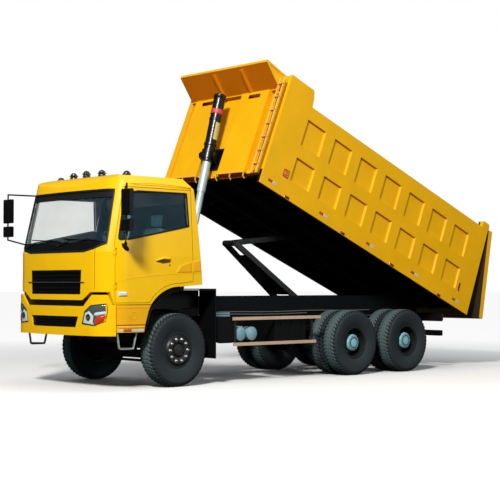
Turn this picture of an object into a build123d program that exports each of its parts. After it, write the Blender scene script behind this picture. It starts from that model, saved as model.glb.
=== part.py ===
"""Three-axle tipper truck: tilting cab, front hoist, scissor stabiliser and a raised load bed.

Frame: +X forward, +Y left, +Z up, millimetres; the origin is on the ground under the
middle of the vehicle.  Every solid is modelled in its parked place with the bed raised.
"""
import math
import os
from functools import lru_cache

from build123d import *

os.makedirs("parts", exist_ok=True)

# ---------------------------------------------------------------- driving dimensions
FRONT_AXLE_X = 3078.0       # front axle ahead of the origin
WHEELBASE = 3800.0          # front axle to the first driven axle
TANDEM = 1350.0             # between the two driven axles
TYRE_R = 550.0
TYRE_W = 290.0
RIM_R = 256.0               # bead seat radius
RIM_W = 208.0
FRONT_TRACK = 2040.0
REAR_TRACK = 1860.0
DUAL_PITCH = 340.0          # between the centres of twin tyres
SEAT_GAP = 0.3              # gap between a piece and its seat
DOOR_GAP = 6.0              # shut line of doors and panels

RAIL_OUT = 430.0            # outer face of the frame rails from the centre line
RAIL_Z0, RAIL_Z1 = 840.0, 1140.0
RAIL_FLANGE = 90.0
RAIL_T = 9.0
RAIL_FRONT = 1240.0         # ahead of the front axle
RAIL_REAR = 6350.0          # behind the front axle
TOW_EYE = (1300.0, 905.0)   # upright bore: ahead of the front axle, and its middle's height
TOW_BORE_R, TOW_RIM, TOW_T = 21.0, 29.0, 30.0
SUB_Z1 = 1340.0             # top of the tipping subframe
SUB_W = 80.0
SUB_FRONT = 780.0           # subframe starts this far behind the front axle
SUB_TAIL = 70.0             # subframe ends this far behind the bed hinge

CAB_HALF = 1230.0           # half width of the cab
CAB_WALL = 60.0
CAB_NOSE = 1450.0           # front of the cab ahead of the front axle
CAB_CORNER_R = 413.0        # corners of the cab in plan
CAB_DROP = 45.0             # the front falls back this far by the corners
CAB_BOW = 6.0               # and has turned this many degrees there
CAB_WAIST = 2000.0          # height where the windscreen starts to lean
CAB_RAKE = 0.25             # lean of the windscreen, run over rise
CAB_FLOOR = 1245.0          # underside of the cab at the doors
CAB_PIVOT = (1200.0, 950.0)  # tilt axis, X ahead of the front axle and Z
CAB_PIN_R = 30.0
# upper face of the cab's floor, X and Z
FLOOR_LINE = ((-700.0, 1590.0), (60.0, 1560.0), (340.0, 1490.0), (640.0, 1300.0))
SLOT_Z0, SLOT_H = 1217.0, 87.0  # slot between bumper and cab: its lower edge and height
DASH_HALF = 1095.0          # the dashboard stays inside the doors' swing
BUMPER_Z0 = 790.0
BUMPER_OUT = 25.0           # the bumper stands this far out of the cab's face
BUMPER_WALL = 35.0
BUMPER_WRAP = 1198.0        # the bumper's ends reach back to here

BED_L = 5700.0              # side panel length
BED_HALF = 1250.0
BED_SIDE_T = 70.0
BED_H = 1650.0              # top of the side above its lower edge
BED_FRONT = 1125.0          # lowered headboard face behind the front axle
BED_Z0 = 1270.0             # lowered lower edge of the sides
BED_FLOOR_H = 235.0         # underside of the floor above that edge
BED_FLOOR_T = 50.0
FLOOR_BEVEL = 4.0           # weld groove round the upper edge of the floor plate
BED_HINGE = (-6080.0, 1150.0)
BED_REST = 22.5             # degrees raised at rest
BED_BEAM_Y = 385.0          # centre of the bed's long beams
BED_BEAM_W = 90.0
HINGE_PIN_R = 35.0
BEARER_H = 120.0            # underside of the cross bearers above the sides' lower edge
HEAD_BOX = (262.0, 925.0)   # Y range of the hollow box panels beside the hoist
HEAD_BOX_DEPTH = 110.0      # how far they stand out ahead of the headboard
HEAD_BOX_UP = (150.0, 1640.0)
HEAD_BOX_T = 8.0
HEAD_SLOT = (140.0, 1520.0, 1590.0)  # slot in each box: half width, lower and upper edge
HEAD_BACK = 50.0            # back face of the headboard behind the bed's front edge
PANEL_COLS, PANEL_PITCH, PANEL_FIRST = 7, 690.0, 600.0
PANEL_W, PANEL_DEPTH = 460.0, 35.0
PANEL_ROWS = ((320.0, 730.0), (960.0, 1420.0))   # bottom, top of each row of panels

GATE_PIN = (5570.0, 1790.0)  # back from the headboard and up from the side's lower edge
GATE_T = 110.0
GATE_OPEN = 11.7            # degrees the tailgate hangs open at rest
GATE_PIN_R = 18.0

HOIST_PIVOT = (190.0, 480.0)  # ahead of the headboard and up from the side's lower edge
HOIST_BASE = (-950.0, 1300.0)
HOIST_UP, HOIST_DOWN = 1050.0, 100.0    # barrel above and below its trunnion
BARREL_R = 98.0
TRUNNION_R, TRUNNION_HALF = 35.0, 168.0
HOIST_STAGES = 4
STAGE_R0, STAGE_STEP = 72.0, 11.0       # radius of the first stage, and what each next one loses
STAGE_GAP = 0.5                         # radial play between stages
STAGE_OUT = 500.0                       # how far each stage is out at rest
BASE_EYE_R, BASE_PIN_R, BASE_EYE_HALF = 60.0, 30.0, 44.0
HOIST_NOTCH = 110.0         # half width of the opening in the headboard's foot beam

ARM_L = 1700.0              # both stabiliser arms
ARM_FOOT = (-3430.0, 1240.0)
ARM_ROOT = (2650.0, 270.0)  # ahead of and above the bed hinge, lowered
ARM_PIN_R = 25.0
ARM_DEPTH, ARM_LEG, ARM_BOSS_R = 90.0, 50.0, 50.0
LOWER_ARM = (290.0, 150.0)  # half widths at the feet and at the knee
UPPER_ARM = (215.0, 75.0)
ARM_WEB = (0.16, 0.82)      # the plate between an arm's legs starts and ends at these parts of its length
ARM_WEB_T = 24.0
KNEE_GAP = 100.0            # an arm wider than this at the knee is forked there

KINGPIN_Y = 900.0
KINGPIN_R = 22.0
AXLE_BEAM = (430.0, 550.0)  # bottom and top of the front axle beam
TRACK_ARM = (-300.0, 830.0)  # tie rod eye behind the axle and out from the centre line
TRACK_EYE_R, TRACK_PIN_R = 35.0, 14.0
SPINDLE_R = 60.0
HUB_R, HUB_REACH = 137.0, 265.0  # rear hub's drum and how far it reaches out from between the twin tyres
DIFF_R = 190.0
AXLE_TUBE_R = 75.0


# ---------------------------------------------------------------- shape helpers
def fx(x):
    """X in the truck's frame of a point given ahead of the front axle."""
    return FRONT_AXLE_X + x


def block(x, y, z):
    """Box from three (low, high) pairs, X given ahead of the front axle."""
    size = [b - a for a, b in (x, y, z)]
    return Pos(fx(sum(x) / 2), sum(y) / 2, sum(z) / 2) * Box(*size)


def rod_x(y, z, r, x):
    return Pos(fx(sum(x) / 2), y, z) * Rot(0, 90, 0) * Cylinder(r, x[1] - x[0])


def rod_y(x, z, r, y):
    return Pos(fx(x), sum(y) / 2, z) * Rot(90, 0, 0) * Cylinder(r, y[1] - y[0])


def rod_z(x, y, r, z):
    return Pos(fx(x), y, sum(z) / 2) * Cylinder(r, z[1] - z[0])


def rod(a, b, r):
    """Round bar between two points, X ahead of the front axle."""
    start, end = Vector(fx(a[0]), a[1], a[2]), Vector(fx(b[0]), b[1], b[2])
    return extrude(Plane(start, z_dir=end - start) * Circle(r), amount=(end - start).length)


def side_plate(outline, y):
    """Plate with an X, Z outline between two Y values; the outline is points or a face."""
    face = make_face(Polyline(*outline, close=True)) if isinstance(outline, (list, tuple)) else outline
    plane = Plane(origin=(FRONT_AXLE_X, y[1], 0), x_dir=(1, 0, 0), z_dir=(0, -1, 0))
    return extrude(plane * face, amount=y[1] - y[0])


def front_plate(outline, x):
    """Plate with a Y, Z outline between two X values; the outline is points or a face."""
    face = make_face(Polyline(*outline, close=True)) if isinstance(outline, (list, tuple)) else outline
    plane = Plane(origin=(fx(x[0]), 0, 0), x_dir=(0, 1, 0), z_dir=(1, 0, 0))
    return extrude(plane * face, amount=x[1] - x[0])


def rounded(points, radius):
    """Closed outline with every corner rounded."""
    return make_face(FilletPolyline(*points, radius=radius, close=True))


def flip(shape):
    """The mirror image on the other side of the truck."""
    return mirror(shape, Plane.XZ)


def both(shape):
    """A piece and its mirror image."""
    return [shape, flip(shape)]


def solids_of(items):
    found = []
    for item in items if isinstance(items, (list, tuple)) else [items]:
        found += list(item.solids())
    return found


PARTS = {}


def keep(name, *items):
    """Hold a node's solids under its name until they are written."""
    PARTS[name] = Compound(label=name, children=sum((solids_of(i) for i in items), []))


# ---------------------------------------------------------------- the bed's own frame
def bed_point(back, up):
    """X ahead of the front axle and Z, lowered, of a point behind and above the bed's front edge."""
    return -BED_FRONT - back, BED_Z0 + up


def raise_point(point, angle=BED_REST):
    """A lowered X, Z point turned about the bed hinge."""
    a = math.radians(angle)
    dx, dz = point[0] - BED_HINGE[0], point[1] - BED_HINGE[1]
    return (BED_HINGE[0] + dx * math.cos(a) - dz * math.sin(a),
            BED_HINGE[1] + dx * math.sin(a) + dz * math.cos(a))


def turn_y(shape, point, angle):
    """Turn a shape about a cross axis; a positive angle lifts what is ahead of it."""
    axis = Axis((fx(point[0]), 0, point[1]), (0, -1, 0))
    return shape.rotate(axis, angle)


def raised(shape):
    return turn_y(shape, BED_HINGE, BED_REST)


def bed_block(back, y, up):
    return block((-BED_FRONT - back[1], -BED_FRONT - back[0]), y, (BED_Z0 + up[0], BED_Z0 + up[1]))


def bed_plate(outline, y):
    return side_plate([bed_point(*p) for p in outline], y)


# ---------------------------------------------------------------- frame
def frame_rails():
    """Two channel rails, each with the stub that carries the cab's tilt arm."""
    rail = block((-RAIL_REAR, RAIL_FRONT), (RAIL_OUT - RAIL_FLANGE, RAIL_OUT), (RAIL_Z0, RAIL_Z1))
    rail -= block((-RAIL_REAR - 1, RAIL_FRONT + 1), (RAIL_OUT - RAIL_FLANGE - 1, RAIL_OUT - RAIL_T),
                  (RAIL_Z0 + RAIL_T, RAIL_Z1 - RAIL_T))
    stub = rod_y(CAB_PIVOT[0], CAB_PIVOT[1], CAB_PIN_R, (RAIL_OUT, RAIL_OUT + 140))
    return both(rail + stub)


def tow_eyes():
    """Flat towing lugs inside the rails' front ends, each with an upright bore for a towing pin."""
    x, z = TOW_EYE
    radius = TOW_BORE_R + TOW_RIM
    wall = RAIL_OUT - RAIL_T - SEAT_GAP
    level = (z - TOW_T / 2, z + TOW_T / 2)
    lug = block((RAIL_FRONT - 45, x), (wall - 2 * radius, wall), level)
    lug += rod_z(x, wall - radius, radius, level)
    return both(lug - rod_z(x, wall - radius, TOW_BORE_R, (level[0] - 1, level[1] + 1)))


def crossmembers():
    """Cross channels between the rails and cross tubes between the subframe's beams."""
    inner = RAIL_OUT - RAIL_T
    half, wall, tube_r = 60, 8, 45
    low, high = RAIL_Z0 + 60, RAIL_Z1 - 40
    members = []
    for x in (1130, -1700, -2900, -4475, -5900):
        member = block((x - half, x + half), (-inner, inner), (low, high))
        member -= block((x - half + wall, x + half + 1), (-inner - 1, inner + 1), (low + wall, high - wall))
        members.append(member)
    sub_inner = RAIL_OUT - SUB_W
    for x in (-1350, -3700, -4500, -5400):
        members.append(rod_y(x, (RAIL_Z1 + SUB_Z1) / 2, tube_r, (-sub_inner, sub_inner)))
    return members


def subframe():
    """Two box beams on the rails, with the bed's hinge stubs and the stabiliser's feet."""
    beam = block((BED_HINGE[0] - SUB_TAIL, -SUB_FRONT), (RAIL_OUT - SUB_W, RAIL_OUT), (RAIL_Z1, SUB_Z1))
    beam += rod_y(BED_HINGE[0], BED_HINGE[1], HINGE_PIN_R + 20, (RAIL_OUT, RAIL_OUT + 30))
    beam += rod_y(BED_HINGE[0], BED_HINGE[1], HINGE_PIN_R, (RAIL_OUT, RAIL_OUT + 110))
    beam += rod_y(ARM_FOOT[0], ARM_FOOT[1], ARM_PIN_R, (LOWER_ARM[0] - 40, RAIL_OUT - SUB_W))
    return both(beam)


def hoist_bracket():
    """Cross beam in front of the subframe with two cheeks; short pins enter the rod's eye."""
    x, z = HOIST_BASE
    half = RAIL_OUT - RAIL_T
    cheek_in, cheek_t = BASE_EYE_HALF + 45, 20
    reach, wall, low = 110, 15, RAIL_Z1 - 150
    body = block((x - reach, x + reach), (-half, half), (low, RAIL_Z1 - RAIL_T))
    body -= block((x - reach + wall, x + reach - wall), (-half - 1, half + 1), (low + wall, RAIL_Z1 - RAIL_T + 1))
    outline = [(x - reach, low), (x + reach, low), (x + 60, z + 55), (x - 60, z + 55)]
    cheek = side_plate(outline, (cheek_in, cheek_in + cheek_t))
    pin = rod_y(x, z, BASE_PIN_R, (BASE_EYE_HALF + SEAT_GAP, cheek_in + cheek_t + 12))
    for side in both(cheek + pin):
        body += side
    return body


# ---------------------------------------------------------------- drive line
def engine_block():
    """The engine as one plain block at its place and size."""
    half, foot_half = 330, 60
    body = block((-750, 330), (-half, half), (620, 1420))
    for x in (-600, 150):
        foot = block((x - foot_half, x + foot_half), (half, RAIL_OUT - RAIL_T), (RAIL_Z0 + 60, RAIL_Z0 + 120))
        for side in both(foot):
            body += side
    return body


def driveline():
    """Gearbox and the two propeller shafts, each with its joint flanges."""
    gearbox = front_plate([(-190, 640), (190, 640), (240, 790), (180, 960), (-180, 960), (-240, 790)],
                          (-1450, -750))
    mid, nose = -WHEELBASE, DIFF_R + 30
    shaft_r, flange_r, flange_t = 45, 75, 30
    shafts = []
    for start, end in (((-1450, 0, 800), (mid + nose, 0, 620)),
                       ((mid - nose, 0, 620), (mid - TANDEM + nose, 0, 600))):
        shaft = rod((start[0] - 20, 0, start[2]), (end[0] + 20, 0, end[2]), shaft_r)
        shaft += rod_x(0, start[2], flange_r, (start[0] - flange_t, start[0]))
        shaft += rod_x(0, end[2], flange_r, (end[0], end[0] + flange_t))
        shafts.append(shaft)
    return [gearbox] + shafts


def front_axle():
    """Forged drop beam with a kingpin eye at each end."""
    low, high = AXLE_BEAM
    half = KINGPIN_Y - 45
    outline = [(-half, high), (-half, high - 130), (-560, low - 30), (560, low - 30), (half, high - 130),
               (half, high), (560, high - 30), (-560, high - 30)]
    beam = front_plate(outline, (-55, 55))
    for y in (-half - 5, half + 5):
        beam += rod_z(0, KINGPIN_Y if y > 0 else -KINGPIN_Y, 52, (high - 130, high))
    for y in (-KINGPIN_Y, KINGPIN_Y):
        beam -= rod_z(0, y, KINGPIN_R + STAGE_GAP, (high - 200, high + 100))
    for y in (-RAIL_OUT + 45, RAIL_OUT - 45):
        beam += block((-90, 90), (y - 50, y + 50), (high - 30, high))
    return beam


def rear_axles():
    """Two driven axle housings with their differential bowls and spindles."""
    axles = []
    hub_end = REAR_TRACK / 2 + 80
    for x, pinion_z, through in ((-WHEELBASE, 620, True), (-WHEELBASE - TANDEM, 600, False)):
        axle = rod_y(x, TYRE_R, AXLE_TUBE_R, (-640, 640)) + rod_y(x, TYRE_R, SPINDLE_R, (-hub_end, hub_end))
        axle += Pos(fx(x), 0, TYRE_R) * Sphere(DIFF_R)
        axle += rod_x(0, pinion_z, 80, (x, x + DIFF_R + 30))
        if through:
            axle += rod_x(0, pinion_z, 60, (x - DIFF_R - 30, x))
        axles.append(axle)
    return axles


def leaf_pack(points, thickness, y):
    """Bent stack of leaves: an X, Z arc through three points, thickened."""
    path = ThreePointArc(*points)
    low = ThreePointArc(*[(px, pz - thickness) for px, pz in points])
    ends = [Line(path @ 0, low @ 0), Line(path @ 1, low @ 1)]
    return side_plate(make_face([path, low] + ends), y)


def leaf_springs():
    """Front springs with their eyes and hangers, and the inverted tandem springs on a trunnion."""
    y0, y1 = RAIL_OUT - 90, RAIL_OUT
    top = AXLE_BEAM[1]
    front = leaf_pack(((-700, 740), (0, top + 75), (700, 740)), 75, (y0, y1))
    for x in (-700, 700):
        front += rod_y(x, 715, 40, (y0, y1))
        front += side_plate([(x - 45, 715), (x + 45, 715), (x + 70, RAIL_Z0), (x - 70, RAIL_Z0)], (y0, y1))
    mid = -WHEELBASE - TANDEM / 2
    reach = TANDEM / 2 + 60
    seat = TYRE_R + AXLE_TUBE_R
    rear = leaf_pack(((mid - reach, seat + 60), (mid, seat + 165), (mid + reach, seat + 60)), 60, (y0, y1))
    rear += side_plate([(mid - 110, RAIL_Z0), (mid + 110, RAIL_Z0), (mid + 70, 640), (mid - 70, 640)],
                       (y0 + 10, y1 - 10))
    for x in (-WHEELBASE, -WHEELBASE - TANDEM):
        rear += block((x - 70, x + 70), (y0, y1), (TYRE_R + 20, seat + 60))
        rear -= rod_y(x, TYRE_R, AXLE_TUBE_R + SEAT_GAP, (y0 - 10, y1 + 10))
    return both(front) + both(rear)


# ---------------------------------------------------------------- chassis furniture
def fuel_tank():
    """Rectangular tank with rounded edges, strapped to the right rail."""
    outer, inner, low, high, corner = -1120, -480, 560, 1080, 70
    face = rounded([(outer, low), (inner, low), (inner, high), (outer, high)], corner)
    tank = front_plate(face, (-2750, -1650))
    for x in (-2450, -1950):
        tank += block((x - 30, x + 30), (-RAIL_OUT - 60, -RAIL_OUT), (RAIL_Z0 + 20, RAIL_Z1 - 60))
    return tank


def air_tanks():
    """Two air reservoirs across the left rail, on a hanger."""
    hanger_t, tank_r, tank_z, tank_end = 20, 108, 760, 1090
    hanger = block((-1640, -1200), (RAIL_OUT, RAIL_OUT + hanger_t), (RAIL_Z0 - 60, RAIL_Z1 - 60))
    for x in (-1300, -1540):
        hanger += rod_y(x, tank_z, tank_r, (RAIL_OUT + hanger_t, tank_end))
    return hanger


def battery_box():
    """Battery box with a ribbed cover on the left rail."""
    bracket, outer, groove, groove_half = 40, 1080, 10, 25
    box = block((-2750, -2050), (RAIL_OUT + bracket, outer), (620, 980))
    box += block((-2600, -2200), (RAIL_OUT, RAIL_OUT + bracket), (RAIL_Z0 + 10, 960))
    for x in (-2640, -2400, -2160):
        box -= block((x - groove_half, x + groove_half), (outer - groove, outer + groove), (660, 940))
    return box


def side_guards():
    """Two rails each side between the axles, on stays from the frame."""
    outer, rail_t, rail_half, post_half = 1150, 30, 25, 20
    back = outer - rail_t
    (low, high), (bottom, top) = (600, 1000), (575, 1025)
    guard = block((-3040, -1100), (back, outer), (high - rail_half, high + rail_half))
    for x in (-1160, -2860):
        guard += block((x - post_half, x + post_half), (back - 20, back), (bottom, top))
        guard += block((x - post_half, x + post_half), (RAIL_OUT, back), (top - 2 * post_half, top))
    guard += block((-2930, -1110), (back, outer), (low - rail_half, low + rail_half))
    return both(guard)


def front_fenders():
    """Moulded arches over the front wheels, each running down into its flap."""
    thick, flap_x, top = 15, -690, 1470
    foot = 400
    face = make_face([
        Polyline((-20, top), (flap_x - thick, top), (flap_x - thick, foot), (flap_x, foot), (flap_x, top - thick),
                 (-20, top - thick)),
        ThreePointArc((-20, top - thick), (335, 1374), (533, 1226)),
        Polyline((533, 1226), (584, 1134), (640, 950), (655, 950), (598, 1140), (546, 1234)),
        ThreePointArc((546, 1234), (345, 1388), (-20, top)),
    ])
    sheet = side_plate(face, (800, 1190))
    sheet += block((flap_x - thick - 30, flap_x - thick), (RAIL_OUT, 900), (1000, 1040))
    return both(sheet)


def rear_underrun():
    """Underrun bar on two drop brackets."""
    x, half, low, high = (-6290, -6190), 1100, 600, 700
    bar = block(x, (-half, half), (low, high))
    for y in (RAIL_OUT - 60, -RAIL_OUT + 40):
        bar += block(x, (y, y + 20), ((low + high) / 2, RAIL_Z0))
    return bar


def tail_lamps():
    """Lamp boards outboard of the frame's tail, each with a lamp block."""
    face, lamp_t, outer, inner, low, high, edge = -6350, 45, 1050, 740, 860, 1010, 15
    board = block((face, face + 20), (RAIL_OUT, outer), (low, high))
    board += block((face - lamp_t, face), (inner, outer - 20), (low + edge, high - edge))
    return both(board)


# ---------------------------------------------------------------- steering
def knuckle(bored):
    """Left knuckle: fork round the axle eye, kingpin, spindle and track arm with its eye or its stud."""
    low, high = AXLE_BEAM[1] - 130, AXLE_BEAM[1]
    gap = 1.0
    body = rod_z(0, KINGPIN_Y, 50, (high + gap, high + 60)) + rod_z(0, KINGPIN_Y, 50, (low - 60, low - gap))
    body += block((-55, 55), (KINGPIN_Y + 58, KINGPIN_Y + 90), (low - 40, high + 60))
    for z in ((high + gap, high + 60), (low - 60, low - gap)):
        body += block((-50, 50), (KINGPIN_Y, KINGPIN_Y + 60), z)
    body += rod_z(0, KINGPIN_Y, KINGPIN_R, (low - 60, high + 60))
    body += rod_y(0, TYRE_R, SPINDLE_R, (KINGPIN_Y + 85, FRONT_TRACK / 2 + 100))
    return body + side_arm((low - 60, low - 30), bored)


def side_arm(z, bored):
    """Flat arm from the knuckle, bent clear of the tyre, back to the tie rod's eye or to a nutted stud."""
    x, y = TRACK_ARM
    eye = TRACK_EYE_R
    face = make_face(Polyline((0, KINGPIN_Y - 45), (0, KINGPIN_Y + 45), (x / 2, y + eye), (x, y + eye),
                              (x, y - eye), (x / 2, y - eye), close=True))
    arm = extrude(Pos(FRONT_AXLE_X, 0, z[0]) * face, amount=z[1] - z[0])
    arm += rod_z(x, y, eye, z)
    if bored:
        return arm - rod_z(x, y, TRACK_PIN_R + STAGE_GAP, (z[0] - 1, z[1] + 1))
    return arm + rod_z(x, y, TRACK_PIN_R + 8, (z[1], z[1] + 18))


def tie_rod():
    """Tie rod under both track arms, pinned up through the left one."""
    x, y = TRACK_ARM
    low = AXLE_BEAM[1] - 190
    z = low - 32
    body = rod_y(x, z, 22, (-y, y))
    for side in (-y, y):
        body += rod_z(x, side, TRACK_EYE_R - 1, (z - 30, low - 1))
    return body + rod_z(x, y, TRACK_PIN_R, (z, low + 40))


# ---------------------------------------------------------------- wheels
def turned(profile):
    """Turn an outline of (radius, width) points about the wheel's axis."""
    face = make_face(Polyline(*profile, close=True)) if isinstance(profile, (list, tuple)) else profile
    return revolve(face, Axis.Y)


def tyre():
    """Tyre with rounded side walls and a crowned tread, solid to the bead."""
    bead, shoulder = RIM_W / 2 - 4, TYRE_W / 2 - 18
    wall_r, rim_lip, bulge = TYRE_R - 36, RIM_R + 26, TYRE_W / 2
    right = ThreePointArc((rim_lip, bead), ((rim_lip + wall_r) / 2, bulge), (wall_r, shoulder))
    crown_r = ThreePointArc((wall_r, shoulder), (TYRE_R - 11, shoulder - 7), (TYRE_R - 3, shoulder - 24))
    tread = ThreePointArc((TYRE_R - 3, shoulder - 24), (TYRE_R, 0), (TYRE_R - 3, -shoulder + 24))
    crown_l = ThreePointArc((TYRE_R - 3, -shoulder + 24), (TYRE_R - 11, -shoulder + 7), (wall_r, -shoulder))
    left = ThreePointArc((wall_r, -shoulder), ((rim_lip + wall_r) / 2, -bulge), (rim_lip, -bead))
    bore = Polyline((rim_lip, -bead), (RIM_R + SEAT_GAP, -bead), (RIM_R + SEAT_GAP, bead), (rim_lip, bead))
    return revolve(make_face([right, crown_r, tread, crown_l, left, bore]), Axis.Y)


def rim_barrel(low, high, lips):
    """Rim barrel between two offsets, with a lip at each end that is named."""
    barrel = turned([(RIM_R - 12, low), (RIM_R, low), (RIM_R, high), (RIM_R - 12, high)])
    for at, way in lips:
        edge = at + way * 9
        barrel += turned([(RIM_R - 12, at), (RIM_R + 22, at), (RIM_R + 22, edge), (RIM_R - 12, edge)])
    return barrel


def hand_holes(y):
    """Ten ventilation holes round a disc."""
    holes = [Rot(0, 36 * i, 0) * Pos(212, y, 0) * Rot(90, 0, 0) * Cylinder(24, 60) for i in range(10)]
    return Compound(children=holes)


def front_rim():
    """Front wheel: disc dished outwards, hub with its cap, brake drum behind."""
    half = RIM_W / 2 - 3.5
    body = rim_barrel(-half, half, ((half, 1), (-half, -1)))
    disc = turned([(100, 66), (RIM_R - 10, 40), (RIM_R - 10, 52), (205, 76), (100, 78)])
    bore = SPINDLE_R + STAGE_GAP
    hub = turned([(bore, -24), (115, -24), (115, 100), (95, 118), (85, 150), (0, 156), (0, 110), (bore, 110)])
    drum = turned([(110, -20), (190, -20), (190, -50), (205, -50), (205, -8), (110, -8)])
    return body + (disc - hand_holes(60)) + hub + drum


def rear_rim():
    """Twin rims back to back on one hub, with a domed cap and a brake drum inside."""
    half = RIM_W / 2 - 3.5
    mid = DUAL_PITCH / 2
    body = rim_barrel(1, mid + half, ((mid + half, 1),)) + rim_barrel(-mid - half, -1, ((-mid - half, -1),))
    body += turned([(RIM_R - 12, mid - half - 9), (RIM_R + 22, mid - half - 9), (RIM_R + 22, mid - half),
                    (RIM_R - 12, mid - half)])
    body += turned([(RIM_R - 12, -mid + half), (RIM_R + 22, -mid + half), (RIM_R + 22, -mid + half + 9),
                    (RIM_R - 12, -mid + half + 9)])
    disc = turned([(110, -12), (RIM_R - 8, -12), (RIM_R - 8, 12), (110, 12)])
    bore = SPINDLE_R + STAGE_GAP
    hub = turned([(bore, -120), (120, -120), (120, 60), (HUB_R, 75), (HUB_R, HUB_REACH - 30),
                  (HUB_R - 25, HUB_REACH - 8), (0, HUB_REACH), (0, 96), (bore, 96)])
    drum = turned([(115, -60), (190, -60), (190, -150), (205, -150), (205, -45), (115, -45)])
    return body + (disc - hand_holes(0)) + hub + drum


# ---------------------------------------------------------------- cab
def cab_plan(inset):
    """Plan outline of the cab: straight sides, large round corners and a bowed front."""
    half = CAB_HALF - inset
    radius = CAB_CORNER_R - inset
    start, middle = math.radians(CAB_BOW), math.radians(45 + CAB_BOW / 2)
    x = CAB_NOSE - CAB_DROP - CAB_CORNER_R * math.cos(start)
    y = CAB_HALF - CAB_CORNER_R
    corner = (x + radius * math.cos(start), y + radius * math.sin(start))
    turn = (x + radius * math.cos(middle), y + radius * math.sin(middle))
    rear = -700
    side = Polyline((x, -half), (rear, -half), (rear, half), (x, half))
    left = ThreePointArc((x, half), turn, corner)
    front = ThreePointArc(corner, (CAB_NOSE - inset, 0), (corner[0], -corner[1]))
    right = ThreePointArc((corner[0], -corner[1]), (turn[0], -turn[1]), (x, -half))
    return make_face([side, left, front, right])


@lru_cache(maxsize=None)
def cab_block(inset):
    """Solid of the cab's outer form, drawn in by a wall or pushed out by a negative one."""
    plan = cab_plan(inset)
    bottom, top = BUMPER_Z0, 3300.0
    lower = extrude(Pos(FRONT_AXLE_X, 0, bottom) * plan, amount=CAB_WAIST - bottom)
    lean = Vector(-CAB_RAKE, 0, 1)
    upper = extrude(Pos(FRONT_AXLE_X, 0, CAB_WAIST) * plan, amount=(top - CAB_WAIST) * lean.length,
                    dir=lean.normalized())
    rear, high = inset, -inset
    side = make_face([
        Polyline((-394 + rear, bottom), (-394 + rear, 1530), (-296 + rear, 2600), (-248 + rear, 2985),
                 (-170 + rear, 3125 + high)),
        ThreePointArc((-170 + rear, 3125 + high), (350, 3190 + high), (880 - 0.5 * inset, 3155 + high)),
        ThreePointArc((880 - 0.5 * inset, 3155 + high), (1090 - inset, 3090 + high), (1235 - inset, 2950 + high)),
        Polyline((1235 - inset, 2950 + high), (1700, 2860 + high), (1700, bottom), (-394 + rear, bottom)),
    ])
    half = CAB_HALF - inset
    front = make_face([
        Polyline((-half + 210, 3130 + high), (-half + 40, 2960 + high), (-half, 1950), (-half, bottom),
                 (half, bottom), (half, 1950), (half - 40, 2960 + high), (half - 210, 3130 + high)),
        ThreePointArc((half - 210, 3130 + high), (0, 3195 + high), (-half + 210, 3130 + high)),
    ])
    return (lower + upper) & side_plate(side, (-1400, 1400)) & front_plate(front, (-800, 1800))


def cab_skin(outer, inner):
    """Layer of the cab's form between two insets."""
    return cab_block(outer) - cab_block(inner)


def door_outline():
    """Door in X, Z: upright front edge, leaning pillar edge and a rear corner cut over the wheel."""
    return make_face([
        ThreePointArc((30, 1545), (400, 1455), (612, 1262)),
        Polyline((612, 1262), (1200, 1262), (1200, 2110), (1030, 2950), (-190, 2950), (-215, 1575), (30, 1545)),
    ])


DOOR_WINDOW = ((1022, 2890), (-105, 2895), (-136, 2404), (1158, 2150))
WINDSCREEN = ((-1037, 2907), (1037, 2907), (1078, 2125), (900, 2050), (700, 2012), (-700, 2012), (-900, 2050),
              (-1078, 2125))
HINGE_AXIS = (1190.0, 1173.0)
HINGE_HEIGHTS = (1500.0, 2000.0)
HINGE_EYE_R, HINGE_BOLT_R = 9.0, 5.0
SIDE_BAND = (1100, 1300)


def slot_region(rise):
    """What lies under the line between cab and bumper, raised by the width of the slot."""
    top, lean = 1382 + 0.45 * rise, 0.6 * rise
    face = [(-1400, 600), (1400, 600), (1400, top), (915 - lean, top), (735 - lean, SLOT_Z0 + rise),
            (-735 + lean, SLOT_Z0 + rise), (-915 + lean, top), (-1400, top)]
    back = 1238 - 0.38 * rise
    side = [(back, 600), (back, 1230 + 0.1 * rise), (1298 - 0.47 * rise, top + 4), (1700, top + 4), (1700, 600)]
    return front_plate(face, (1100, 1700)) & side_plate(side, (-1400, 1400))


def grille_outline(grow):
    return [(-657 - grow, 1742 + grow), (657 + grow, 1742 + grow), (635 + grow, 1386 - grow),
            (-635 - grow, 1386 - grow)]


def intake_outline(grow):
    return [(-621 - grow, 1066 + grow), (621 + grow, 1066 + grow), (561 + grow, 908 - grow),
            (-561 - grow, 908 - grow)]


def lamp_outline(grow):
    """Left headlamp in Y, Z: low at its inner end, high where it wraps the corner."""
    g = grow
    return [(711 - g, 962), (763 - g, 1139), (894, 1228 + g), (1108 + g, 1255 + g), (1116 + g, 1143),
            (1095 + g, 1003), (962, 939 - g)]


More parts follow.
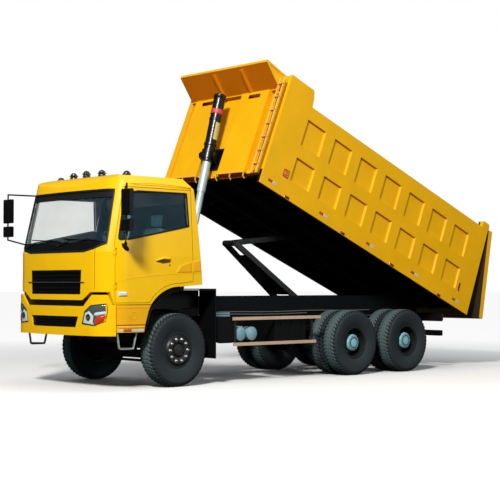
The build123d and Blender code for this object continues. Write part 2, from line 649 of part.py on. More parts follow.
def cab_shell():
    """Cab body: walls, roof and floor, with the door and window openings cut."""
    reach = (-1400, 1400)
    arch = make_face([
        ThreePointArc((17, 1501), (380, 1415), (580, CAB_FLOOR)),
        Polyline((580, CAB_FLOOR), (1700, CAB_FLOOR), (1700, 600), (-900, 600), (-900, 1532), (-394, 1532),
                 (17, 1501)),
    ])
    room = [(-700, 3400)] + list(FLOOR_LINE) + [(1700, CAB_FLOOR + 55), (1700, 3400)]
    shell = cab_block(0) - side_plate(arch, reach)
    shell -= cab_block(CAB_WALL) & side_plate(room, reach)
    shell -= slot_region(SLOT_H)
    doorway = side_plate(door_outline(), SIDE_BAND)
    shell -= doorway
    shell -= flip(doorway)
    shell -= front_plate(rounded(WINDSCREEN, 45), (700, 1700))
    shell -= front_plate(grille_outline(0), (1300, 1700))
    arm = side_plate([(CAB_PIVOT[0] - 50, CAB_PIVOT[1]), (CAB_PIVOT[0] + 50, CAB_PIVOT[1]),
                      (CAB_PIVOT[0] + 90, CAB_FLOOR), (CAB_PIVOT[0] - 90, CAB_FLOOR)], (500, 530))
    arm += rod_y(CAB_PIVOT[0], CAB_PIVOT[1], 52, (500, 530))
    arm -= rod_y(CAB_PIVOT[0], CAB_PIVOT[1], CAB_PIN_R + STAGE_GAP, (490, 540))
    for side in both(arm):
        shell += side
    x, y = HINGE_AXIS
    for z in HINGE_HEIGHTS:
        lugs = Part()
        for low in (z - 42, z + 22):
            lugs += rod_z(x, y, HINGE_EYE_R, (low, low + 20))
            lugs += block((x, x + 30), (y - 20, y), (low, low + 20))
        lugs += rod_z(x, y, HINGE_BOLT_R, (z - 42, z + 42))
        for side in both(lugs):
            shell += side
    return shell


def door(glass=False):
    """Left door: a full-thickness panel with its window cut and its half of each hinge."""
    outline = offset(door_outline(), amount=-DOOR_GAP)
    window = rounded(DOOR_WINDOW, 40)
    if glass:
        hole = offset(window, amount=-SEAT_GAP)
        return cab_skin(24, 30) & side_plate(hole, SIDE_BAND)
    panel = cab_skin(0, CAB_WALL) & side_plate(outline, SIDE_BAND)
    panel -= side_plate(window, SIDE_BAND)
    x, y = HINGE_AXIS
    for z in HINGE_HEIGHTS:
        panel -= block((x - 18, x + 20), (y - 100, y + 20), (z - 50, z + 50))
        panel += rod_z(x, y, HINGE_EYE_R, (z - 20, z + 20))
        panel += block((x - 25, x), (y - 14, y), (z - 20, z + 20))
        panel -= rod_z(x, y, HINGE_BOLT_R + STAGE_GAP, (z - 21, z + 21))
    return panel


def windscreen():
    """Laminated windscreen, set in its opening and bowed like the cab's face."""
    pane = cab_skin(16, 24)
    return pane & front_plate(offset(rounded(WINDSCREEN, 45), amount=-SEAT_GAP), (700, 1700))


def grille():
    """Main grille with its slats and centre bar, and the mesh of the lower intake."""
    back = cab_skin(26, 38)
    main = back & front_plate(grille_outline(-SEAT_GAP), (1300, 1700))
    ribs = cab_skin(4, 26)
    for i in range(6):
        z = 1415 + 60 * i
        main += ribs & front_plate([(-625, z - 9), (625, z - 9), (625, z + 9), (-625, z + 9)], (1300, 1700))
    bar = cab_skin(-10, 26)
    main += bar & front_plate([(-645, 1556), (645, 1556), (645, 1572), (-645, 1572)], (1300, 1700))
    low_back = cab_skin(-BUMPER_OUT + 24, -BUMPER_OUT + 34)
    low = low_back & front_plate(intake_outline(-SEAT_GAP), (1300, 1700))
    low_ribs = cab_skin(-BUMPER_OUT + 6, -BUMPER_OUT + 24)
    half = 565
    for z in (947, 987, 1027):
        low += low_ribs & front_plate([(-half, z - 8), (half, z - 8), (half, z + 8), (-half, z + 8)], (1300, 1700))
    return [main, low]


def bumper():
    """Deep bumper with its raised lamp corners, intake and lamp openings."""
    wrap = block((BUMPER_WRAP, 1265), (-1400, 1400), (BUMPER_Z0, CAB_FLOOR - DOOR_GAP))
    skin = cab_skin(-BUMPER_OUT, -BUMPER_OUT + BUMPER_WALL) & (slot_region(0) + wrap)
    skin -= front_plate(intake_outline(0), (1300, 1700))
    lamp = front_plate(lamp_outline(0), (1230, 1700))
    skin -= lamp
    skin -= flip(lamp)
    # two brackets carry the bumper under the cab's front edge
    for y in (-560, 560):
        skin += block((1372, 1408), (y - 30, y + 30), (1100, SLOT_Z0 + SLOT_H - SEAT_GAP))
        skin += block((1372, 1450), (y - 30, y + 30), (1100, SLOT_Z0 - 20))
    return skin


def headlamps():
    """Two headlamp units that wrap the bumper's corners."""
    unit = cab_skin(-BUMPER_OUT + 2, -BUMPER_OUT + BUMPER_WALL) & front_plate(
        lamp_outline(-SEAT_GAP), (1230, 1700))
    return both(unit)


def cab_steps():
    """Step fairing under each door with its tread and a tubular foot rung."""
    front = BUMPER_WRAP - 13
    low, back, rung_r, rung_y = 840, 712, 15, 1160
    outline = [(front, CAB_FLOOR), (front, low), (back, low), (690, 957), (630, 1148), (582, CAB_FLOOR)]
    skin = cab_skin(0, 35) & side_plate(outline, (900, 1300))
    tread = block((back, front), (900, 1220), (low, low + 25))
    tread += block((front - 15, front), (900, 1220), (low, CAB_FLOOR))
    skin += tread & cab_block(10)
    path = [(1150, rung_y, 850), (1110, rung_y, 610), (860, rung_y, 600), (800, rung_y, 850)]
    for a, b in zip(path, path[1:]):
        skin += rod(a, b, rung_r)
    for a in path[1:3]:
        skin += Pos(fx(a[0]), a[1], a[2]) * Sphere(rung_r)
    return both(skin)


def marker_lamps():
    """Five domed marker lamps along the front of the roof."""
    lamps = []
    radius, sunk = 60, 35
    for y in (-860, -370, 0, 370, 860):
        base = 3195 - (y / 1020) ** 2 * 63
        x = 880 - 0.00016 * y * y
        dome = Pos(fx(x), y, base - sunk) * Sphere(radius)
        dome &= block((x - 80, x + 80), (y - 80, y + 80), (base - 40, base + 40))
        lamps.append(dome - cab_block(0))
    return lamps


def seats():
    """Driver's and passenger's seats on their pedestals."""
    seat = side_plate(rounded([(50, 1700), (560, 1720), (570, 1840), (160, 1830), (40, 2400), (-90, 2400),
                               (-70, 1800)], 25), (300, 800))
    seat += side_plate(rounded([(-95, 2415), (5, 2415), (-10, 2600), (-85, 2600)], 20), (440, 660))
    (x0, z0), (x1, z1), (x2, z2) = FLOOR_LINE[1:]
    front = 440
    foot = z1 + (z2 - z1) * (front - x1) / (x2 - x1)
    seat += side_plate([(x0, z0 + SEAT_GAP), (x1, z1 + SEAT_GAP), (front, foot + SEAT_GAP), (front, 1730),
                        (x0, 1710)], (380, 720))
    seat += block((-75, -45), (500, 600), (2390, 2430))
    return both(seat)


def dashboard():
    """Dashboard across the cab, and the steering wheel on its column."""
    outline = [(900, 1800), (1060, 1420), (1340, 1420), (1340, 1990), (1180, 2060), (960, 2040), (890, 1950)]
    board = side_plate(rounded(outline, 25), (-DASH_HALF, DASH_HALF))
    board &= cab_block(CAB_WALL + 1)
    column = rod((960, 560, 1960), (800, 560, 2130), 28)
    tilt = Location((fx(790), 560, 2140), (0, -43, 0))
    wheel = tilt * (Torus(215, 15) + Cylinder(45, 30))
    for angle in (0, 120, 240):
        wheel += tilt * Rot(0, 0, angle) * Pos(115, 0, 0) * Box(200, 30, 12)
    return [board + column + wheel]


def mirror_set():
    """Left mirror: two door arms, an upright and two heads."""
    tip_x, tip_y = 1290, 1570
    skin = cab_block(-SEAT_GAP)
    tip_high, tip_low, arm_r = 2955, 2235, 12
    high = rod((1000, 1140, 2925), (tip_x, tip_y, tip_high), arm_r) - skin
    foot = Pos(fx(1045), 1218, 2122) * Sphere(26)
    low = rod((1045, 1210, 2122), (tip_x, tip_y, tip_low), arm_r) + foot - skin
    body = rod((tip_x, tip_y, tip_high), (tip_x, tip_y, tip_low), arm_r)
    back, face = tip_x - 45, tip_x + 25
    for z0, z1 in ((2500, 2880), (2280, 2450)):
        outline = rounded([(back, z0), (face, z0), (face, z1), (back, z1)], 20)
        body += side_plate(outline, (tip_y - 100, tip_y + 100))
    for arm, z in ((high, tip_high), (low, tip_low)):
        body += arm
        body += Pos(fx(tip_x), tip_y, z) * Sphere(arm_r + 0.5)
    return body


# ---------------------------------------------------------------- load bed
def bed_floor():
    """Floor plate on two long beams and cross bearers, with the hinge plates at the back."""
    inner = BED_HALF - BED_SIDE_T
    low, high = BED_FLOOR_H, BED_FLOOR_H + BED_FLOOR_T
    beam_in, beam_out = BED_BEAM_Y - BED_BEAM_W / 2, BED_BEAM_Y + BED_BEAM_W / 2
    floor = bed_block((HEAD_BACK, BED_L), (-inner, inner), (low, high))
    floor = chamfer(floor.edges().group_by(Axis.Z)[-1], FLOOR_BEVEL)
    for y in ((-beam_out, -beam_in), (beam_in, beam_out)):
        floor += bed_block((HEAD_BACK, BED_L), y, (SUB_Z1 + 25 - BED_Z0, low))
    for i in range(9):
        back = HEAD_BACK + i * (BED_L - HEAD_BACK - 60) / 8
        floor += bed_block((back, back + 60), (beam_out, inner), (BEARER_H, low))
        floor += bed_block((back, back + 60), (-inner, -beam_out), (BEARER_H, low))
        if i == 0 or i > 4:
            floor += bed_block((back, back + 60), (-beam_in, beam_in), (BEARER_H, low))
    x = -BED_FRONT - BED_HINGE[0]
    eye_z = BED_HINGE[1] - BED_Z0
    plate_in, plate_t = RAIL_OUT + 40, 30
    plate_y = (plate_in, plate_in + plate_t)
    plate = bed_plate([(x - 180, low), (x + 180, low), (x + 70, eye_z), (x - 70, eye_z)], plate_y)
    plate += rod_y(BED_HINGE[0], BED_HINGE[1], 75, plate_y)
    plate -= rod_y(BED_HINGE[0], BED_HINGE[1], HINGE_PIN_R + STAGE_GAP, (plate_in - 10, plate_in + plate_t + 10))
    for side in both(plate):
        floor += side
    root = (ARM_ROOT[0] + BED_HINGE[0], ARM_ROOT[1] + BED_HINGE[1])
    pin = rod_y(root[0], root[1], ARM_PIN_R, (UPPER_ARM[0] - 40, beam_in))
    for side in both(pin):
        floor += side
    return raised(floor)


def bed_sides():
    """Side panels: plain front section, rail, posts and two rows of pressed panels."""
    y0, y1 = BED_HALF - BED_SIDE_T, BED_HALF
    side = bed_plate([(0, 0), (BED_L, 0), (BED_L, 1840), (5530, 1840), (5500, BED_H + 60), (610, BED_H),
                      (590, 1800), (540, 1930), (0, 1930)], (y0, y1))
    for i in range(PANEL_COLS):
        back = PANEL_FIRST + i * PANEL_PITCH
        for low, high in PANEL_ROWS:
            face = Rectangle(PANEL_W, high - low)
            x, z = bed_point(back + PANEL_W / 2, (low + high) / 2)
            plane = Plane(origin=(fx(x), y1, z), x_dir=(1, 0, 0), z_dir=(0, -1, 0))
            side -= extrude(plane * face, amount=PANEL_DEPTH, taper=25)
    x, z = bed_point(*GATE_PIN)
    side += rod_y(x, z, GATE_PIN_R, (y0 - 60, y0))
    return [raised(s) for s in both(side)]


def headboard():
    """Front wall with its posts, cross beams, climbing ladder and the canopy over the cab gap."""
    inner = BED_HALF - BED_SIDE_T
    face, out, low, high = 10, -35, HEAD_BOX_UP[0], 1900
    board = bed_block((face, HEAD_BACK), (-inner, inner), (low, high))
    box_in, box_out = HEAD_BOX
    box_top, wall = HEAD_BOX_UP[1], HEAD_BOX_T
    box = bed_block((-HEAD_BOX_DEPTH, face), (box_in, box_out), (low, box_top))
    box -= bed_block((wall - HEAD_BOX_DEPTH, face + 1), (box_in + wall, box_out - wall), (low - 1, box_top - 40))
    middle = (box_in + box_out) / 2
    slot_half, slot_low, slot_high = HEAD_SLOT
    box -= bed_block((-HEAD_BOX_DEPTH - 1, wall + 1 - HEAD_BOX_DEPTH), (middle - slot_half, middle + slot_half),
                     (slot_low, slot_high))
    for side in both(box):
        board += side
    post, post_half = inner - 50, 50
    for y in (-post, post):
        board += bed_block((out, face), (y - post_half, y + post_half), (low, high))
    board += bed_block((out, face), (-inner, inner), (box_top, box_top + 80))
    for y in ((-inner, -box_out), (-box_in, -HOIST_NOTCH), (HOIST_NOTCH, box_in), (box_out, inner)):
        board += bed_block((out, face), y, (low, low + 50))
    lip, half = -470, 1100
    hood = bed_plate([(out, box_top), (lip, 1930), (lip, 1965), (lip + 30, 1965), (out, box_top + 50)],
                     (-half, half))
    hood += bed_plate([(lip, 1935), (lip, 1970), (HEAD_BACK, 1925), (HEAD_BACK, 1890)], (-half, half))
    for y in (-1090, -420, 420, 1080):
        hood += bed_plate([(out, box_top + 20), (lip + 5, 1940), (face, 1915)], (y, y + 12))
    board += hood
    return raised(board)


def ladder():
    """Climbing ladder up the left corner of the headboard."""
    post_in, post_out, wide = 1110, 1215, 20
    out, back = -115, -85
    frame = bed_block((out, back), (post_in, post_in + wide), (120, 1800))
    frame += bed_block((out, back), (post_out, post_out + wide), (120, 1800))
    for i in range(7):
        up = 260 + i * 240
        frame += bed_block((out + 5, back - 5), (post_in + wide, post_out), (up, up + 20))
    for up in (200, 1560):
        frame += bed_block((back, -35), (post_in, post_in + wide), (up, up + 40))
    return raised(frame)


def hoist_mount():
    """Black trunnion bracket on the headboard: two ears with bores for the barrel's pins."""
    ahead, up = HOIST_PIVOT
    ear_in, ear_out = 135.0, 165.0
    plate = bed_block((-28, 10), (-230, 230), (up - 190, up + 190))
    root, tip = 190, 70
    outline = [(-20, up + root), (-20, up - root), (-ahead, up - tip), (-ahead, up + tip)]
    ear = bed_plate(outline, (ear_in, ear_out))
    x, z = bed_point(-ahead, up)
    ear += rod_y(x, z, tip, (ear_in, ear_out))
    ear -= rod_y(x, z, TRUNNION_R + STAGE_GAP, (ear_in - 5, ear_out + 5))
    for side in both(ear):
        plate += side
    return raised(plate)


# ---------------------------------------------------------------- tailgate
def tailgate():
    """Top-hung tailgate with framed face and two forward hinge arms."""
    width = BED_HALF - BED_SIDE_T
    front, back = BED_L + 8, BED_L + 8 + GATE_T
    gate = bed_block((front, back), (-BED_HALF, BED_HALF), (20, 1700))
    for y0, y1 in ((-1190, -640), (-580, -20), (20, 580), (640, 1190)):
        for z0, z1 in ((110, 800), (880, 1600)):
            gate -= bed_block((back - 60, back + 1), (y0, y1), (z0, z1))
    pin_back, pin_up = GATE_PIN
    arm = bed_plate([(pin_back - 45, pin_up - 45), (pin_back - 45, pin_up + 45), (back, pin_up + 45),
                     (back, 1690), (front, 1690), (front, pin_up - 45)], (width - 50, width - 15))
    x, z = bed_point(pin_back, pin_up)
    arm -= rod_y(x, z, GATE_PIN_R + STAGE_GAP, (width - 60, width))
    for side in both(arm):
        gate += side
    return raised(turn_y(gate, (x, z), -GATE_OPEN))


# ---------------------------------------------------------------- hoist and stabiliser
def hoist_axis():
    """Trunnion point, unit vector down the cylinder and length to the base eye, all at rest."""
    top = raise_point(bed_point(-HOIST_PIVOT[0], HOIST_PIVOT[1]))
    dx, dz = HOIST_BASE[0] - top[0], HOIST_BASE[1] - top[1]
    length = math.hypot(dx, dz)
    return top, (dx / length, dz / length), length


def along_hoist(shape):
    """Place a shape drawn down +Z from the trunnion on the cylinder's real line."""
    top, (dx, dz), _ = hoist_axis()
    return Plane(origin=(fx(top[0]), 0, top[1]), x_dir=(0, 1, 0), z_dir=(dx, 0, dz)) * shape


def tube(r_out, r_in, low, high):
    body = Pos(0, 0, (low + high) / 2) * Cylinder(r_out, high - low)
    if r_in > 0:
        body -= Pos(0, 0, (low + high) / 2) * Cylinder(r_in, high - low + 2)
    return body


def hoist_barrel():
    """Outer tube, closed at its top, with the trunnion collar, its pins and the lower gland."""
    bore = STAGE_R0 + STAGE_GAP
    body = tube(BARREL_R, 0, -HOIST_UP, HOIST_DOWN) - tube(bore, 0, -HOIST_UP + 25, HOIST_DOWN + 1)
    body += tube(BARREL_R + 22, BARREL_R - 5, -75, 75)
    body += tube(BARREL_R + 10, bore, HOIST_DOWN - 40, HOIST_DOWN + 15)
    pins = Rot(0, 90, 0) * Cylinder(TRUNNION_R, 2 * TRUNNION_HALF)
    body += pins - Cylinder(BARREL_R - 3, 200)
    return along_hoist(body)


def stage_span(index):
    """Top, bottom and radii of a hoist stage at rest, measured down from the trunnion."""
    _, _, length = hoist_axis()
    out = STAGE_OUT * (index + 1)
    top = -HOIST_UP + 60 + 30 * index + out
    low = length if index == HOIST_STAGES - 1 else HOIST_DOWN + 40 + 40 * index + out
    radius = STAGE_R0 - STAGE_STEP * index
    inner = 0 if index == HOIST_STAGES - 1 else radius - STAGE_STEP + STAGE_GAP
    return top, low, radius, inner


def hoist_stage(index):
    """One chromed stage; the last one ends in the base eye."""
    top, low, radius, inner = stage_span(index)
    if index < HOIST_STAGES - 1:
        return along_hoist(tube(radius, inner, top, low))
    body = tube(radius, 0, top, low - BASE_EYE_R + 8)
    eye = Pos(0, 0, low) * Rot(0, 90, 0) * Cylinder(BASE_EYE_R, 2 * BASE_EYE_HALF)
    eye -= Pos(0, 0, low) * Rot(0, 90, 0) * Cylinder(BASE_PIN_R, 2 * BASE_EYE_HALF + 2)
    return along_hoist(body + eye)


def knee():
    """X, Z of the stabiliser's knee at rest."""
    foot = ARM_FOOT
    root = raise_point((ARM_ROOT[0] + BED_HINGE[0], ARM_ROOT[1] + BED_HINGE[1]))
    dx, dz = root[0] - foot[0], root[1] - foot[1]
    reach = math.hypot(dx, dz)
    angle = math.atan2(dz, dx) - math.acos(reach / 2 / ARM_L)
    return (foot[0] + ARM_L * math.cos(angle), foot[1] + ARM_L * math.sin(angle)), root


def stabiliser(start, end, halves, leg, web_side):
    """One A-shaped stabiliser arm from its foot to the knee, drawn flat and turned to its line."""
    length = math.dist(start, end)
    foot, tip = halves
    body = Part()
    for sign in (1, -1):
        face = make_face(Polyline((0, sign * foot), (0, sign * (foot - leg)), (length, sign * (tip - leg)),
                                  (length, sign * tip), close=True))
        body += extrude(Pos(0, 0, -ARM_DEPTH / 2) * face, amount=ARM_DEPTH)
    (near, near_y), (far, far_y) = [(length * at, foot + (tip - foot) * at - leg / 2) for at in ARM_WEB]
    web = make_face(Polyline((near, near_y), (far, far_y), (far, -far_y), (near, -near_y), close=True))
    level = web_side * (ARM_DEPTH - ARM_WEB_T) / 2
    body += extrude(Pos(0, 0, level - ARM_WEB_T / 2) * web, amount=ARM_WEB_T)
    for x, outer, radius in ((0, foot, ARM_BOSS_R), (length, tip, ARM_BOSS_R)):
        body += Pos(x, 0, 0) * Rot(90, 0, 0) * Cylinder(radius, 2 * outer)
        if x == 0 or tip > KNEE_GAP:
            inner = outer - leg
            body -= Pos(x, 0, 0) * Rot(90, 0, 0) * Cylinder(radius + 30, 2 * inner)
    body -= Rot(90, 0, 0) * Cylinder(ARM_PIN_R + STAGE_GAP, 2 * foot + 10)
    dx, dz = (end[0] - start[0]) / length, (end[1] - start[1]) / length
    plane = Plane(origin=(fx(start[0]), 0, start[1]), x_dir=(dx, 0, dz), z_dir=(-dz, 0, dx))
    return plane, body, length


def stabiliser_lower():
    """Lower arm: wide at its feet on the subframe, forked at the knee."""
    point, _ = knee()
    plane, body, _ = stabiliser(ARM_FOOT, point, LOWER_ARM, ARM_LEG, -1)
    return plane * body


def stabiliser_upper():
    """Upper arm: hung under the bed, folding inside the lower one, with the knee's stub pins."""
    point, root = knee()
    plane, body, length = stabiliser(root, point, UPPER_ARM, ARM_LEG, 1)
    knee_in = LOWER_ARM[1] - ARM_LEG
    body += Pos(length, 0, 0) * Rot(90, 0, 0) * Cylinder(ARM_PIN_R, 2 * (knee_in - SEAT_GAP))
    return plane * body


# ---------------------------------------------------------------- assembly
def build_all():
    keep("frame_rails", frame_rails())
    keep("tow_eyes", tow_eyes())
    keep("crossmembers", crossmembers())
    keep("subframe", subframe())
    keep("hoist_bracket", hoist_bracket())
    keep("engine_block", engine_block())
    keep("driveline", driveline())
    keep("front_axle", front_axle())
    keep("rear_axles", rear_axles())
    keep("leaf_springs", leaf_springs())
    keep("fuel_tank", fuel_tank())
    keep("air_tanks", air_tanks())
    keep("battery_box", battery_box())
    keep("side_guards", side_guards())
    keep("front_fenders", front_fenders())
    keep("rear_underrun", rear_underrun())
    keep("tail_lamps", tail_lamps())
    keep("knuckle_left", knuckle(bored=True))
    keep("knuckle_right", flip(knuckle(bored=False)))
    keep("tie_rod", tie_rod())

    one_tyre = tyre()
    front = front_rim()
    rear = rear_rim()
    for side, name in ((1, "left"), (-1, "right")):
        turn = Rot(0, 0, 0 if side > 0 else 180)
        hub = Pos(FRONT_AXLE_X, side * FRONT_TRACK / 2, TYRE_R)
        keep("tyre_front_" + name, hub * turn * one_tyre)
        keep("rim_front_" + name, hub * turn * front)
        for x, place in ((-WHEELBASE, "mid"), (-WHEELBASE - TANDEM, "rear")):
            hub = Pos(fx(x), side * REAR_TRACK / 2, TYRE_R)
            twins = [hub * Pos(0, y, 0) * one_tyre for y in (-DUAL_PITCH / 2, DUAL_PITCH / 2)]
            keep("tyres_%s_%s" % (place, name), twins)
            keep("rims_%s_%s" % (place, name), hub * turn * rear)

    keep("cab_shell", cab_shell())
    keep("windscreen", windscreen())
    keep("grille", grille())
    keep("bumper", bumper())
    keep("headlamps", headlamps())
    keep("cab_steps", cab_steps())
    keep("marker_lamps", marker_lamps())
    keep("seats", seats())
    keep("dashboard", dashboard())
    for name, shape in (("door", door()), ("door_glass", door(glass=True)), ("mirror", mirror_set())):
        keep(name + "_left", shape)
        keep(name + "_right", flip(shape))

    keep("bed_floor", bed_floor())
    keep("bed_sides", bed_sides())
    keep("headboard", headboard())
    keep("ladder", ladder())
    keep("hoist_mount", hoist_mount())
    keep("tailgate", tailgate())
    keep("hoist_barrel", hoist_barrel())
    for index in range(HOIST_STAGES):
        keep("hoist_stage_%d" % (index + 1), hoist_stage(index))
    keep("stabiliser_lower", stabiliser_lower())
    keep("stabiliser_upper", stabiliser_upper())


build_all()
for node, shape in PARTS.items():
    export_step(shape, "parts/%s.step" % node)
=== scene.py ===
"""Look of a three-axle tipper truck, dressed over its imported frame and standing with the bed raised."""
import math

import bmesh
import bpy
import numpy as np
from mathutils import Matrix, Vector


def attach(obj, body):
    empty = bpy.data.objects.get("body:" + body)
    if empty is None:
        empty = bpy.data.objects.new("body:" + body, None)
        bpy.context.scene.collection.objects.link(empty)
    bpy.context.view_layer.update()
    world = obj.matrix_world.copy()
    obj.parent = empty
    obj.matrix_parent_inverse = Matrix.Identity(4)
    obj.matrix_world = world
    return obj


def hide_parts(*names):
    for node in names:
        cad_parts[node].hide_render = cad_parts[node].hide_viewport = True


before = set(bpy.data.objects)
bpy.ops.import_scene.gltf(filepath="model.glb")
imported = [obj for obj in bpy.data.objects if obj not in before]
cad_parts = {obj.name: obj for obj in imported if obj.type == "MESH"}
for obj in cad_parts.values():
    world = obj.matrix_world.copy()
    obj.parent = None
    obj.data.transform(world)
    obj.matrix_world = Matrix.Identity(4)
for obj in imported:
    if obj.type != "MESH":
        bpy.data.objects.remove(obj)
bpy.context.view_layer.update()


# ---- Frame rails, cross members and tipping subframe -----------------------------------------
# Pressed steel channels riveted to their cross members, with a welded box subframe on top.
# All of it is dipped in thin black chassis paint, dull with road dust on what faces up.
FRONT = 3.078                 # front axle ahead of the origin
rail_face = 0.430             # web of a rail, out from the middle


def net(rows, count, rows_close=False, count_close=True):
    """Four-sided faces between the neighbours on a grid of points, joined end to start where it closes."""
    last_row, last = rows - (not rows_close), count - (not count_close)
    i, j = np.meshgrid(np.arange(last_row), np.arange(last), indexing="ij")
    k, l = (i + 1) % rows, (j + 1) % count
    return np.stack([i * count + j, i * count + l, k * count + l, k * count + j], -1).reshape(-1, 4)


def turned(profile, centre, axis=(0, 1, 0), count=48):
    """Profile of (radius, along) points turned about an axis: the centre plus along times the axis
    plus radius times the cosine and sine of the angle on the two directions square to it."""
    profile, axis = np.asarray(profile, float), np.asarray(axis, float)
    axis = axis / np.linalg.norm(axis)
    side = np.cross(axis, (0, 0, 1) if abs(axis[2]) < 0.9 else (1, 0, 0))
    side /= np.linalg.norm(side)
    other = np.cross(axis, side)
    angle = np.arange(count) * 2 * np.pi / count
    way = np.cos(angle)[:, None] * side + np.sin(angle)[:, None] * other
    verts = np.asarray(centre) + profile[:, None, 1:] * axis + profile[:, None, :1] * way[None]
    return verts.reshape(-1, 3), net(len(profile), count).tolist()


def repeated(shape, places):
    """One shape set down at every place: each copy is the shape's points plus that place."""
    verts, faces = shape
    places = np.asarray(places, float).reshape(-1, 3)
    size = len(verts)
    every = (verts[None] + places[:, None]).reshape(-1, 3)
    loops = [[v + step for v in face] for step in range(0, size * len(places), size) for face in faces]
    return every, loops


def bolt_heads(places, axis, radius, height):
    """Hexagon heads with a chamfered crown, standing along the axis at every place."""
    crown = [(0, 0), (radius, 0), (radius, height * 0.7), (radius * 0.82, height), (0, height)]
    return repeated(turned(crown, (0, 0, 0), axis, 6), places)


def piece(name, shapes, finish, body):
    """Join shapes into one named object, merge what meets, turn faces outwards and ride on a body."""
    verts, faces, start = [], [], 0
    for points, loops in shapes:
        verts.append(np.asarray(points, float))
        faces += [[v + start for v in loop] for loop in loops]
        start += len(points)
    mesh = bpy.data.meshes.new(name)
    mesh.from_pydata(np.concatenate(verts).tolist(), [], faces)
    work = bmesh.new()
    work.from_mesh(mesh)
    bmesh.ops.remove_doubles(work, verts=work.verts, dist=2e-5)
    bmesh.ops.recalc_face_normals(work, faces=work.faces)
    work.to_mesh(mesh)
    work.free()
    mesh.shade_smooth()
    mesh.set_sharp_from_angle(angle=math.radians(38))
    mesh.materials.append(finish)
    made = bpy.data.objects.new(name, mesh)
    bpy.context.scene.collection.objects.link(made)
    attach(made, body)
    return made


def dress(finish, *nodes):
    """Give carried-over nodes their finish."""
    for node in nodes:
        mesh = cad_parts[node].data
        mesh.materials.clear()
        mesh.materials.append(finish)


def feed(tree, socket, value):
    """Link another node's output to a socket, or set the plain number or colour given instead."""
    if isinstance(value, bpy.types.NodeSocket):
        tree.links.new(value, socket)
    elif socket.type == "RGBA":
        socket.default_value = (*value[:3], 1)
    else:
        socket.default_value = value


def mix(tree, factor, first, second):
    """Colour mix node; a link or a plain value goes in each place."""
    node = tree.nodes.new("ShaderNodeMix")
    node.data_type = "RGBA"
    for slot, value in ((0, factor), (6, first), (7, second)):
        feed(tree, node.inputs[slot], value)
    return node.outputs[2]


def maths(tree, what, *values, clamp=False):
    """Maths node on links or plain numbers."""
    node = tree.nodes.new("ShaderNodeMath")
    node.operation, node.use_clamp = what, clamp
    for slot, value in enumerate(values):
        feed(tree, node.inputs[slot], value)
    return node.outputs[0]


def blotches(tree, scale, detail=4.0, rough=0.55):
    """Noise over the object's own coordinates."""
    noise = tree.nodes.new("ShaderNodeTexNoise")
    noise.inputs["Detail"].default_value = detail
    noise.inputs["Roughness"].default_value = rough
    feed(tree, noise.inputs["Scale"], scale)
    feed(tree, noise.inputs["Vector"], tree.nodes.new("ShaderNodeTexCoord").outputs["Object"])
    return noise.outputs["Fac"]


def new_group(name, inputs, outputs):
    """Empty shader node group with named inputs and outputs, and its two end nodes; an input is a
    colour where its value is a tuple, and a number otherwise."""
    group = bpy.data.node_groups.new(name, "ShaderNodeTree")
    for label, value in inputs.items():
        kind = "NodeSocketColor" if isinstance(value, tuple) else "NodeSocketFloat"
        socket = group.interface.new_socket(label, in_out="INPUT", socket_type=kind)
        socket.default_value = (*value, 1) if isinstance(value, tuple) else value
    for label, kind in outputs.items():
        group.interface.new_socket(label, in_out="OUTPUT", socket_type="NodeSocket" + kind)
    return group, group.nodes.new("NodeGroupInput").outputs, group.nodes.new("NodeGroupOutput").inputs


def placed(tree, group, **values):
    """Node group set down in a tree, with a link or a plain value in each named input."""
    node = tree.nodes.new("ShaderNodeGroup")
    node.node_tree = group
    for label, value in values.items():
        feed(tree, node.inputs[label.replace("_", " ").title()], value)
    return node.outputs


# Road dust: settles on upward faces and low down, broken up by two sizes of noise.
road_dust, given, put = new_group(
    "Road dust",
    {"Color": (0.5, 0.5, 0.5), "Dust Color": (0.30, 0.27, 0.23), "Amount": 0.3, "Top": 1.2, "Roughness": 0.5},
    {"Color": "Color", "Roughness": "Float", "Mask": "Float"})
where = road_dust.nodes.new("ShaderNodeSeparateXYZ")
road_dust.links.new(road_dust.nodes.new("ShaderNodeTexCoord").outputs["Object"], where.inputs[0])
facing = road_dust.nodes.new("ShaderNodeSeparateXYZ")
road_dust.links.new(road_dust.nodes.new("ShaderNodeNewGeometry").outputs["Normal"], facing.inputs[0])
low = maths(road_dust, "SUBTRACT", given["Top"], where.outputs["Z"])
low = maths(road_dust, "MULTIPLY", low, 0.8, clamp=True)
flat = maths(road_dust, "MULTIPLY", facing.outputs["Z"], 0.45, clamp=True)
settle = maths(road_dust, "ADD", low, flat)
cloud = maths(road_dust, "MULTIPLY_ADD", blotches(road_dust, 5.0), 1.6, -0.35, clamp=True)
speck = maths(road_dust, "MULTIPLY_ADD", blotches(road_dust, 60.0, 3.0, 0.7), 1.4, -0.2, clamp=True)
mask = maths(road_dust, "MULTIPLY", settle, maths(road_dust, "MULTIPLY", cloud, speck))
mask = maths(road_dust, "MULTIPLY", mask, given["Amount"], clamp=True)
feed(road_dust, put["Color"], mix(road_dust, mask, given["Color"], given["Dust Color"]))
feed(road_dust, put["Roughness"], maths(road_dust, "MULTIPLY_ADD", mask, 0.5, given["Roughness"], clamp=True))
feed(road_dust, put["Mask"], mask)

